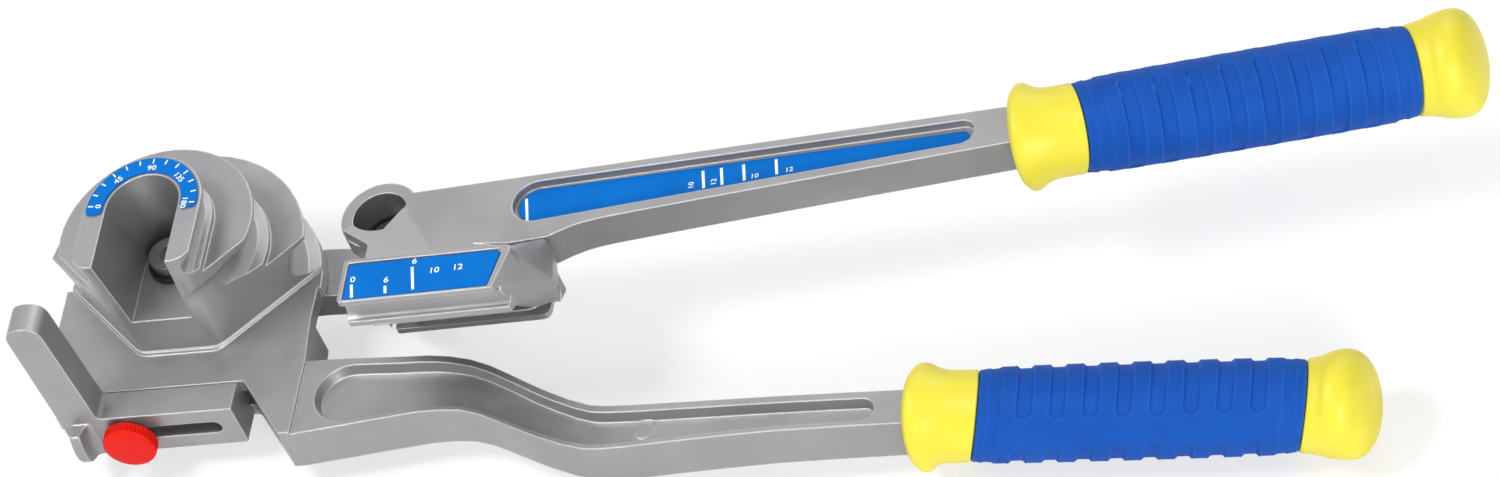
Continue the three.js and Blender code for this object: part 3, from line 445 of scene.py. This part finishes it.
def add_bar(bm, start, end, width, level):
    """A bar of ink whose underside follows level(place) at its corners."""
    along = (end - start).normalized()
    side = Vector((-along.y, along.x)) * width / 2
    corners = [start - side, end - side, end + side, start + side]
    low = [bm.verts.new((c.x * MM, c.y * MM, level(c) * MM)) for c in corners]
    high = [bm.verts.new((c.x * MM, c.y * MM, (level(c) + INK_THICKNESS) * MM)) for c in corners]
    bm.faces.new(low[::-1])
    bm.faces.new(high)
    for i in range(4):
        j = (i + 1) % 4
        bm.faces.new((low[i], low[j], high[j], high[i]))


def figure_mesh(string, size):
    curve = bpy.data.curves.new("figure", "FONT")
    curve.body = string
    curve.size = size
    curve.align_x = "CENTER"
    curve.align_y = "CENTER"
    curve.extrude = FIGURE_LIFT
    curve.offset = FIGURE_WEIGHT * size
    curve.resolution_u = FIGURE_RESOLUTION
    figure = bpy.data.objects.new("figure", curve)
    bpy.context.scene.collection.objects.link(figure)
    bpy.context.view_layer.update()
    evaluated = figure.evaluated_get(bpy.context.evaluated_depsgraph_get())
    mesh = bpy.data.meshes.new_from_object(evaluated)
    bpy.data.objects.remove(figure)
    bpy.data.curves.remove(curve)
    return mesh


def add_figure(bm, string, size, place, angle, level):
    """Ink figures on the surface at level(place), which may slope."""
    mesh = figure_mesh(string, size)
    stretch = Matrix.Diagonal((FIGURE_STRETCH, 1.0, 1.0, 1.0))
    turn = Matrix.Rotation(math.radians(angle), 4, "Z") @ stretch
    mesh.transform(Matrix.Translation((place.x, place.y, 0.0)) @ turn)
    for vertex in mesh.vertices:
        vertex.co.z += level(vertex.co) + FIGURE_LIFT
    mesh.transform(Matrix.Scale(MM, 4))
    bm.from_mesh(mesh)
    bpy.data.meshes.remove(mesh)


# Degree scale: ticks and figures on the mandrel's top

SCALE_TURN = 2.8
SCALE_END = 180
TICK_STEP = 15
FIGURE_STEP = 45
TICK_INNER = 12.8
TICK_OUTER = 14.2
TICK_WIDTH = 0.34
FIGURE_RADIUS = 11.4
FIGURE_SIZE = 2.1


def scale_angle(degrees):
    return SCALE_END - degrees - SCALE_TURN


def scale_direction(degrees):
    angle = math.radians(scale_angle(degrees))
    return Vector((math.cos(angle), math.sin(angle)))


def angle_marks(frame, white):
    bm = bmesh.new()
    top = top_level(frame, "angle_scale")

    def level(place):
        return top

    for degrees in range(0, SCALE_END + 1, TICK_STEP):
        out = scale_direction(degrees)
        add_bar(bm, out * TICK_INNER, out * TICK_OUTER, TICK_WIDTH, level)
    for degrees in range(0, SCALE_END + 1, FIGURE_STEP):
        place = scale_direction(degrees) * FIGURE_RADIUS
        add_figure(bm, str(degrees), FIGURE_SIZE, place, scale_angle(degrees) - 90.0, level)
    link_mesh("angle_marks", bm, white, "frame")


# Shoe scale: each tick's place along the lever with its two ends, and each figure with its place

SHOE_TICKS = ((2.7, -38.7, -34.6), (11.4, -38.7, -36.4), (18.1, -38.7, -31.6))
SHOE_FIGURES = (
    ("0", 2.6, -33.1), ("6", 11.3, -34.6), ("6", 18.0, -29.9), ("10", 23.4, -33.6), ("12", 29.4, -33.6),
)
SHOE_FIGURE_SIZE = 2.4


def shoe_marks(frame, lever, white):
    bm = bmesh.new()
    top = top_level(frame, "shoe_scale")

    def level(place):
        return top

    for x, low, high in SHOE_TICKS:
        lean = (high - low) * MARK_LEAN
        start = lever.point(x + lean / 2, low)
        end = lever.point(x - lean / 2, high)
        add_bar(bm, start, end, LABEL_TICK_WIDTH, level)
    for string, x, y in SHOE_FIGURES:
        add_figure(bm, string, SHOE_FIGURE_SIZE, lever.point(x, y), LEVER_ANGLE, level)
    link_mesh("shoe_marks", bm, white, "lever")


# Arm scale: ticks grow shorter along the label, which rises; two of its figures stand upright

ARM_LABEL_TOP = 38.75
ARM_SLOPE = 4.5 / 162.8
ARM_TICKS = (37.5, 83.0, 87.7, 93.4, 101.7)
ARM_TICK_BACK = -0.35
ARM_TICK_LENGTH = 7.4
ARM_TICK_TAPER = 0.35
ARM_FIGURES = (
    ("10", 80.4, -4.4, 90), ("12", 86.2, -4.4, 90), ("10", 96.6, -4.6, 0), ("12", 105.4, -4.3, 0),
)
ARM_FIGURE_SIZE = 1.9


def arm_marks(lever, white):
    bm = bmesh.new()

    def level(place):
        return ARM_LABEL_TOP + lever.along(place) * ARM_SLOPE

    for x in ARM_TICKS:
        share = (x - ARM_TICKS[0]) / (ARM_TICKS[-1] - ARM_TICKS[0])
        length = ARM_TICK_LENGTH * (1.0 - ARM_TICK_TAPER * share)
        start = lever.point(x + length * MARK_LEAN, ARM_TICK_BACK - length)
        end = lever.point(x, ARM_TICK_BACK)
        add_bar(bm, start, end, LABEL_TICK_WIDTH, level)
    for string, x, y, turn in ARM_FIGURES:
        add_figure(bm, string, ARM_FIGURE_SIZE, lever.point(x, y), LEVER_ANGLE + turn, level)
    link_mesh("arm_marks", bm, white, "lever")


# Grips, alike on both handles: a yellow core with its collar and cap, and a blue sleeve

GRIP_LENGTH = 113.4
GRIP_RADIUS = 13.05
GRIP_WAIST = 11.0
SLEEVE_START = 13.4
SLEEVE_END = 95.4
SLEEVE_MIDDLE = (SLEEVE_START + SLEEVE_END) / 2
SLEEVE_LEAN = 0.43
SLEEVE_RADIUS = 11.35
SLEEVE_BELLY = 0.25
SLEEVE_SHOULDER = 0.55
SHOULDER_RUN = 5.0
END_ROUND = 0.3
END_ROUND_RUN = 0.45
CORE_RADIUS = 8.4
CORE_CHAMFER = 0.25
SLEEVE_BORE = 8.7
SLEEVE_GAP = 0.3
SLOT_COUNT = 8
SLOT_PITCH = 8.3
SLOT_HALF = 1.75
SLOT_DEPTH = 0.6
SLOT_WALL = 0.42
SLOT_BAND_HALF = 3.7
LIP_HEIGHT = 0.1
LIP_PLACE = 0.55
LIP_WIDTH = 0.16
RING_FROM = 3.0
RING_TO = 5.4
RING_DEPTH = 0.35
TANG_HALF = 4.3
TANG_DEPTH = 58.6
COLLAR_SEAT = -0.6
DOME_STEPS = 14
DOME_POWER = 2.3
CORE_SIDES = 96
ARC_STEP = 6.0

# Profiles: length from the collar's face, or beyond the sleeve's end, and share of the grip's radius
COLLAR = (
    (-0.6, 0.9), (0.0, 0.94), (0.25, 0.968), (0.6, 0.99), (1.1, 1.0), (1.8, 0.995), (2.6, 0.972),
    (3.5, 0.93), (4.4, 0.893), (5.4, 0.866), (6.6, 0.85), (8.0, 0.843),
)
CAP_SWELL = ((0.4, 0.847), (2.5, 0.868), (5.0, 0.915), (7.0, 0.958), (9.0, 0.99), (11.0, 1.0))

# Where the sleeve's mesh needs its lines: from each slot's middle, from each end, and round each slot's end
SLOT_OFFSETS = (0.0, 0.9, 1.2, 1.39, 1.57, 1.75, 1.93, 2.11, 2.3, 2.5, 2.8, 3.4)
END_OFFSETS = (
    0.0, 0.08, 0.22, 0.45, 0.9, 1.6, 2.4, 2.64, 2.82, 3.0, 3.18, 3.36, 3.8, 4.6, 5.04, 5.22, 5.4, 5.58,
    5.76, 6.2, 7.0,
)
BAND_ANGLES = (
    0.0, 6.0, 11.0, 14.5, 16.0, 17.2, 18.2, 19.1, 20.0, 21.0, 22.2, 23.6, 25.2, 27.0, 29.0, 32.0, 37.0,
)


class Grip:
    """One grip's place, and the direction in which its sleeve's ends and slots lean."""

    def __init__(self, prefix, body, start, height, angle, turn, lean_turn):
        self.prefix = prefix
        self.body = body
        self.turn = turn
        self.lean = math.radians(lean_turn)
        self.matrix = (
            Matrix.Translation((start[0], start[1], height))
            @ Matrix.Rotation(math.radians(angle), 4, "Z")
            @ Matrix.Rotation(math.radians(turn), 4, "X")
        )

    def point(self, along, radius, angle, share=1.0):
        """A point at an angle from the grip's own +Z, moved along it by the lean's share."""
        y = radius * math.sin(angle)
        z = radius * math.cos(angle)
        shift = share * SLEEVE_LEAN * (y * math.cos(self.lean) + z * math.sin(self.lean))
        return self.matrix @ Vector((along + shift, y, z)) * MM


def smooth_step(value):
    t = min(max(value, 0.0), 1.0)
    return t * t * (3.0 - 2.0 * t)


def wall_share(distance):
    """How much of a recess's depth there is at a signed distance from its outline."""
    t = min(max((SLOT_WALL - distance) / (2.0 * SLOT_WALL), 0.0), 1.0)
    return 0.5 * t + 0.5 * smooth_step(t)


def slot_distance(along, angle):
    """Signed distance from the nearest slot's rounded outline."""
    last = (SLOT_COUNT - 1) / 2
    index = round((along - SLEEVE_MIDDLE) / SLOT_PITCH + last)
    index = min(max(index, 0), SLOT_COUNT - 1)
    across = along - SLEEVE_MIDDLE - (index - last) * SLOT_PITCH
    off_band = abs((angle + math.pi / 2) % math.pi - math.pi / 2)
    inward = (off_band - math.asin(SLOT_BAND_HALF / SLEEVE_RADIUS)) * SLEEVE_RADIUS
    if inward >= SLOT_HALF:
        return abs(across) - SLOT_HALF
    return math.hypot(across, SLOT_HALF - inward) - SLOT_HALF


def sleeve_radius(along, angle):
    half = (SLEEVE_END - SLEEVE_START) / 2
    off_middle = abs(along - SLEEVE_MIDDLE)
    from_end = half - SLEEVE_GAP - off_middle
    radius = SLEEVE_RADIUS + SLEEVE_BELLY * (1.0 - (off_middle / half) ** 2)
    radius -= SLEEVE_SHOULDER * (1.0 - smooth_step(from_end / SHOULDER_RUN))
    radius -= END_ROUND * (1.0 - min(from_end / END_ROUND_RUN, 1.0)) ** 2
    radius -= RING_DEPTH * wall_share(max(RING_FROM - from_end, from_end - RING_TO))
    distance = slot_distance(along, angle)
    radius -= SLOT_DEPTH * wall_share(distance)
    radius += LIP_HEIGHT * math.exp(-(((distance - LIP_PLACE) / LIP_WIDTH) ** 2))
    return radius


def sleeve_lines():
    low = SLEEVE_START + SLEEVE_GAP
    high = SLEEVE_END - SLEEVE_GAP
    lines = {low + d for d in END_OFFSETS} | {high - d for d in END_OFFSETS}
    for i in range(SLOT_COUNT):
        centre = SLEEVE_MIDDLE + (i - (SLOT_COUNT - 1) / 2) * SLOT_PITCH
        lines |= {centre + d for d in SLOT_OFFSETS} | {centre - d for d in SLOT_OFFSETS}
    return sorted({round(line, 4) for line in lines})


def sleeve_angles():
    quarter = list(BAND_ANGLES)
    while quarter[-1] + ARC_STEP < 90.0:
        quarter.append(quarter[-1] + ARC_STEP)
    half = quarter + [180.0 - a for a in reversed(quarter)]
    return [math.radians(a + turn) for turn in (0.0, 180.0) for a in half[:-1]]


def add_grip_piece(grip, kind, bm, material):
    name = f"{grip.prefix}_{kind}_moulding"
    piece = add_formed_piece(name, bm, material, grip.body, MOULDED_CREASE)
    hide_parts(f"{grip.prefix}_grip_{kind}")


def add_sleeve(grip, material):
    bm = bmesh.new()
    angles = sleeve_angles()
    lines = sleeve_lines()

    def ring(along, radius_at):
        return [bm.verts.new(grip.point(along, radius_at(along, a), a)) for a in angles]

    def bore_radius(along, angle):
        return SLEEVE_BORE

    rings = [ring(lines[0], bore_radius)]
    rings += [ring(along, sleeve_radius) for along in lines]
    rings.append(ring(lines[-1], bore_radius))
    join_rings(bm, rings, True)
    add_grip_piece(grip, "sleeve", bm, material)


def tang_radius(grip, angle):
    """The square bore for the handle's tang, level with the handle."""
    level = angle - math.radians(grip.turn)
    return TANG_HALF / max(abs(math.sin(level)), abs(math.cos(level)))


def add_core(grip, material):
    bm = bmesh.new()
    angles = [math.tau * i / CORE_SIDES for i in range(CORE_SIDES)]

    def ring(along, radius, share):
        return [bm.verts.new(grip.point(along, radius, a, share)) for a in angles]

    def bore(along):
        return [bm.verts.new(grip.point(along, tang_radius(grip, a), a, 0.0)) for a in angles]

    rings = [bore(TANG_DEPTH), bore(COLLAR_SEAT)]
    for along, share in COLLAR:
        rings.append(ring(along, share * GRIP_RADIUS, smooth_step(along / COLLAR[-1][0])))
    rings.append(ring(SLEEVE_START - CORE_CHAMFER, GRIP_WAIST, 1.0))
    rings.append(ring(SLEEVE_START, GRIP_WAIST - CORE_CHAMFER, 1.0))
    rings.append(ring(SLEEVE_START, CORE_RADIUS, 1.0))
    rings.append(ring(SLEEVE_END, CORE_RADIUS, 1.0))
    rings.append(ring(SLEEVE_END, GRIP_WAIST - CORE_CHAMFER, 1.0))
    crest = CAP_SWELL[-1][0]
    for beyond, share in CAP_SWELL:
        lean = 1.0 - smooth_step(beyond / crest)
        rings.append(ring(SLEEVE_END + beyond, share * GRIP_RADIUS, lean))
    dome = GRIP_LENGTH - SLEEVE_END - crest
    for i in range(1, DOME_STEPS):
        turn = math.pi / 2 * i / DOME_STEPS
        along = math.sin(turn) ** (2.0 / DOME_POWER)
        radius = math.cos(turn) ** (2.0 / DOME_POWER)
        rings.append(ring(SLEEVE_END + crest + dome * along, radius * GRIP_RADIUS, 0.0))
    join_rings(bm, rings, False)
    cap_ring(bm, rings[0], grip.point(TANG_DEPTH, 0.0, 0.0, 0.0))
    cap_ring(bm, rings[-1], grip.point(GRIP_LENGTH, 0.0, 0.0, 0.0))
    add_grip_piece(grip, "core", bm, material)


def make_grips(lever, materials):
    grips = (
        Grip("fixed", "frame", start=(194.4, -50.6), height=13.2, angle=-3.4, turn=63.0, lean_turn=47.0),
        Grip("lever", "lever", start=lever.point(163.6, -3.1), height=40.2, angle=LEVER_ANGLE + 2.5,
             turn=-32.0, lean_turn=166.0),
    )
    for grip in grips:
        add_core(grip, materials["yellow_plastic"])
        add_sleeve(grip, materials["blue_rubber"])


# Clamp knob with a fine knurl, about its own axis along Y

KNOB_BACK = -37.7
KNOB_FRONT = -41.3
KNOB_RADIUS = 6.75
KNURL_COUNT = 44
KNURL_DEPTH = 0.42
KNURL_SAMPLES = 6
KNOB_BORE = 2.1
KNOB_BORE_END = -40.3

# Level along Y, share of the radius, and share of the knurl's depth
KNOB_PROFILE = (
    (-37.7, 0.93, 0.0), (-37.85, 0.975, 0.0), (-38.0, 1.0, 0.6), (-38.2, 1.0, 1.0), (-39.9, 1.0, 1.0),
    (-40.25, 1.0, 0.7), (-40.5, 0.99, 0.2), (-40.75, 0.97, 0.0), (-41.0, 0.92, 0.0), (-41.15, 0.84, 0.0),
    (-41.22, 0.6, 0.0), (-41.28, 0.3, 0.0),
)


def add_knob(frame, material):
    bm = bmesh.new()
    centre_x, _, centre_z = joint_place(frame, "knob_turn")
    count = KNURL_COUNT * KNURL_SAMPLES
    angles = [math.tau * i / count for i in range(count)]

    def place(level, out, angle):
        return Vector((centre_x + out * math.cos(angle), level, centre_z + out * math.sin(angle))) * MM

    def ring(level, radius, knurl):
        row = []
        for a in angles:
            out = radius - knurl * KNURL_DEPTH * (0.5 + 0.5 * math.cos(a * KNURL_COUNT))
            row.append(bm.verts.new(place(level, out, a)))
        return row

    rings = [ring(KNOB_BORE_END, KNOB_BORE, 0.0), ring(KNOB_BACK, KNOB_BORE, 0.0)]
    rings += [ring(level, share * KNOB_RADIUS, knurl) for level, share, knurl in KNOB_PROFILE]
    join_rings(bm, rings, False)
    cap_ring(bm, rings[0], place(KNOB_BORE_END, 0.0, 0.0))
    cap_ring(bm, rings[-1], place(KNOB_FRONT, 0.0, 0.0))
    knob = add_formed_piece("knurled_knob", bm, material, "knob", MOULDED_CREASE)
    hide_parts("clamp_knob")


# The web's right end, which fills the corner between the shoe's slab and the arm's neck

GUSSET_POINTS = (
    (99.9, -22.6, 56.4), (97.6, -34.5, 56.0), (98.0, -24.0, 55.0), (99.6, -34.6, 47.2),
    (106.4, -22.9, 40.8), (104.2, -12.6, 41.2), (101.8, -8.8, 41.9), (101.4, -9.4, 35.4),
    (104.6, -22.6, 34.2), (103.4, -13.0, 34.8), (100.0, -25.2, 35.2), (96.0, -20.0, 40.0),
    (96.0, -12.0, 40.6),
)
GUSSET_ROUND = 1.1
GUSSET_ROUND_STEPS = 4
GUSSET_FLATTEN = 3.0


def add_gusset(material):
    bm = bmesh.new()
    for point in GUSSET_POINTS:
        bm.verts.new(Vector(point) * MM)
    hull = bmesh.ops.convex_hull(bm, input=bm.verts)
    inner = [thing for thing in hull["geom_interior"] if isinstance(thing, bmesh.types.BMVert)]
    bmesh.ops.delete(bm, geom=inner, context="VERTS")
    bmesh.ops.dissolve_limit(
        bm, angle_limit=math.radians(GUSSET_FLATTEN), verts=bm.verts, edges=bm.edges)
    bmesh.ops.bevel(
        bm, geom=bm.edges[:] + bm.verts[:], offset=GUSSET_ROUND * MM, segments=GUSSET_ROUND_STEPS,
        affect="EDGES", profile=0.5, clamp_overlap=True)
    add_formed_piece("web_gusset", bm, material, "lever", HARD_CREASE)


# The hook: the model's own mesh with a fuller finger tab, scooped on its right side

HOOK_FRONT = -36.3
TAB_CUT = 0.02
TAB_ROOT = 0.5
TAB_RIGHT = -20.7
TAB_BOTTOM = 7.35
TAB_CORNER = 0.5
TAB_CORNER_SHARE = 0.3
SCOOP_STEPS = 8
SCOOP_RIGHT = 0.4
SCOOP_FRONT = 0.25

# Levels of the tab: height over its bottom, left side, reach and width of its front
TAB_LEVELS = (
    (0.0, -24.3, 0.9, 1.2), (0.25, -24.9, 2.0, 1.9), (0.85, -25.4, 3.1, 2.3), (1.9, -25.75, 4.0, 2.6),
    (3.4, -25.95, 4.5, 2.8), (5.5, -26.0, 4.6, 2.9), (8.5, -25.8, 4.55, 2.9), (10.9, -25.5, 4.4, 2.9),
    (11.35, -25.4, 4.25, 2.7), (11.6, -25.2, 3.9, 2.3),
)


def tab_outline(left, reach, width):
    """The tab seen from above: two rounded front corners, and the scoop back to the hook's bar."""
    front = HOOK_FRONT - reach
    right = left + width
    corner = min(TAB_CORNER, width / 3)
    inset = TAB_CORNER_SHARE * corner
    places = [
        (left, HOOK_FRONT + TAB_ROOT), (left, front + corner), (left + inset, front + inset),
        (left + corner, front), (right - corner, front), (right - inset, front + inset),
    ]
    for i in range(SCOOP_STEPS + 1):
        t = i / SCOOP_STEPS
        first, middle, last = (1 - t) ** 2, 2 * t * (1 - t), t * t
        places.append((
            first * right + middle * (right + SCOOP_RIGHT) + last * TAB_RIGHT,
            first * (front + corner) + middle * (HOOK_FRONT - SCOOP_FRONT) + last * HOOK_FRONT,
        ))
    places.append((TAB_RIGHT, HOOK_FRONT + TAB_ROOT))
    return places


def cut_off_tab(bm):
    """Cut the plain tab off, a hair in front of the hook's bar, and close the cut."""
    cut = bmesh.ops.bisect_plane(
        bm, geom=bm.verts[:] + bm.edges[:] + bm.faces[:], clear_outer=True,
        plane_co=(0.0, (HOOK_FRONT - TAB_CUT) * MM, 0.0), plane_no=(0.0, -1.0, 0.0))
    loop = [edge for edge in cut["geom_cut"] if isinstance(edge, bmesh.types.BMEdge)]
    bmesh.ops.contextual_create(bm, geom=loop)


def add_hook(frame, material):
    node = frame["nodes"]["hook"]
    bm = bmesh.new()
    bm.from_mesh(node.data)
    bm.transform(node.matrix_world)
    bmesh.ops.remove_doubles(bm, verts=bm.verts, dist=WELD_REACH)
    cut_off_tab(bm)
    rings = []
    for rise, left, reach, width in TAB_LEVELS:
        outline = tab_outline(left, reach, width)
        rings.append([bm.verts.new(Vector((x, y, TAB_BOTTOM + rise)) * MM) for x, y in outline])
    join_rings(bm, rings, False)
    bm.faces.new(rings[0])
    bm.faces.new(rings[-1])
    hook = add_formed_piece("hook_casting", bm, material, "hook", HARD_CREASE)
    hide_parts("hook")


# World, floor and lamps

WHITE = neutral(1.0)
WORLD_TINT = colour(0.95, 0.97, 1.0)
WORLD_STRENGTH = 0.42
FLOOR_SHADE = neutral(0.92)
FLOOR_GLOW = 0.62
FLOOR_HALF = 4.0
FLOOR_PLACE = (0.15, 0.0, -0.0004)
LAMP_TARGET = Vector((0.15, 0.0, 0.02))

# Each lamp's name, place, size and power in watts
LAMPS = (
    ("key_lamp", (-0.5, -0.2, 1.3), 0.5, 12.5),
    ("front_lamp", (0.9, -1.2, 0.6), 0.7, 17.0),
    ("back_lamp", (0.3, 1.2, 0.9), 0.9, 7.0),
)


def math_node(tree, operation, first):
    node = tree.nodes.new("ShaderNodeMath")
    node.operation = operation
    tree.links.new(first, node.inputs[0])
    return node


def mix_shaders(tree, share, first, second, output):
    mixer = tree.nodes.new("ShaderNodeMixShader")
    tree.links.new(share, mixer.inputs["Fac"])
    tree.links.new(first, mixer.inputs[1])
    tree.links.new(second, mixer.inputs[2])
    tree.links.new(mixer.outputs[0], output)


def make_world():
    """White where the camera, gloss or glass looks, and a dimmer tint for what lights the object."""
    world = bpy.data.worlds.new("studio")
    world.use_nodes = True
    bpy.context.scene.world = world
    tree = world.node_tree
    plain = tree.nodes["Background"]
    plain.inputs["Color"].default_value = WORLD_TINT
    plain.inputs["Strength"].default_value = WORLD_STRENGTH
    white = tree.nodes.new("ShaderNodeBackground")
    white.inputs["Color"].default_value = WHITE
    path = tree.nodes.new("ShaderNodeLightPath")
    seen = math_node(tree, "MAXIMUM", path.outputs["Is Camera Ray"])
    tree.links.new(path.outputs["Is Glossy Ray"], seen.inputs[1])
    both = math_node(tree, "MAXIMUM", seen.outputs[0])
    tree.links.new(path.outputs["Is Transmission Ray"], both.inputs[1])
    surface = tree.nodes["World Output"].inputs["Surface"]
    mix_shaders(tree, both.outputs[0], plain.outputs[0], white.outputs[0], surface)


def floor_material():
    material = bpy.data.materials.new("floor_white")
    material.use_nodes = True
    tree = material.node_tree
    tree.nodes.remove(tree.nodes["Principled BSDF"])
    matt = tree.nodes.new("ShaderNodeBsdfDiffuse")
    matt.inputs["Color"].default_value = FLOOR_SHADE
    glow = tree.nodes.new("ShaderNodeEmission")
    glow.inputs["Color"].default_value = WHITE
    glow.inputs["Strength"].default_value = 1.0
    path = tree.nodes.new("ShaderNodeLightPath")
    share = math_node(tree, "MULTIPLY", path.outputs["Is Camera Ray"])
    share.inputs[1].default_value = FLOOR_GLOW
    surface = tree.nodes["Material Output"].inputs["Surface"]
    mix_shaders(tree, share.outputs[0], matt.outputs[0], glow.outputs[0], surface)
    return material


def make_floor():
    bm = bmesh.new()
    bmesh.ops.create_grid(bm, x_segments=2, y_segments=2, size=FLOOR_HALF)
    mesh = bpy.data.meshes.new("floor")
    bm.to_mesh(mesh)
    bm.free()
    mesh.materials.append(floor_material())
    floor = bpy.data.objects.new("floor", mesh)
    floor.location = FLOOR_PLACE
    bpy.context.scene.collection.objects.link(floor)


def add_lamp(name, place, size, watts):
    data = bpy.data.lights.new(name, "AREA")
    data.shape = "DISK"
    data.size = size
    data.energy = watts
    lamp = bpy.data.objects.new(name, data)
    lamp.location = place
    lamp.rotation_euler = (LAMP_TARGET - Vector(place)).to_track_quat("-Z", "Y").to_euler()
    bpy.context.scene.collection.objects.link(lamp)


def main():
    scene = bpy.context.scene
    scene.view_settings.view_transform = "Standard"
    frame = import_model()
    lever = Lever(frame)
    make_camera()
    materials = make_materials()
    dress_nodes(frame, materials)
    angle_marks(frame, materials["label_white"])
    shoe_marks(frame, lever, materials["label_white"])
    arm_marks(lever, materials["label_white"])
    make_grips(lever, materials)
    add_knob(frame, materials["red_plastic"])
    add_gusset(materials["cast_aluminium"])
    add_hook(frame, materials["cast_aluminium"])
    make_world()
    make_floor()
    for name, place, size, watts in LAMPS:
        add_lamp(name, place, size, watts)


main()
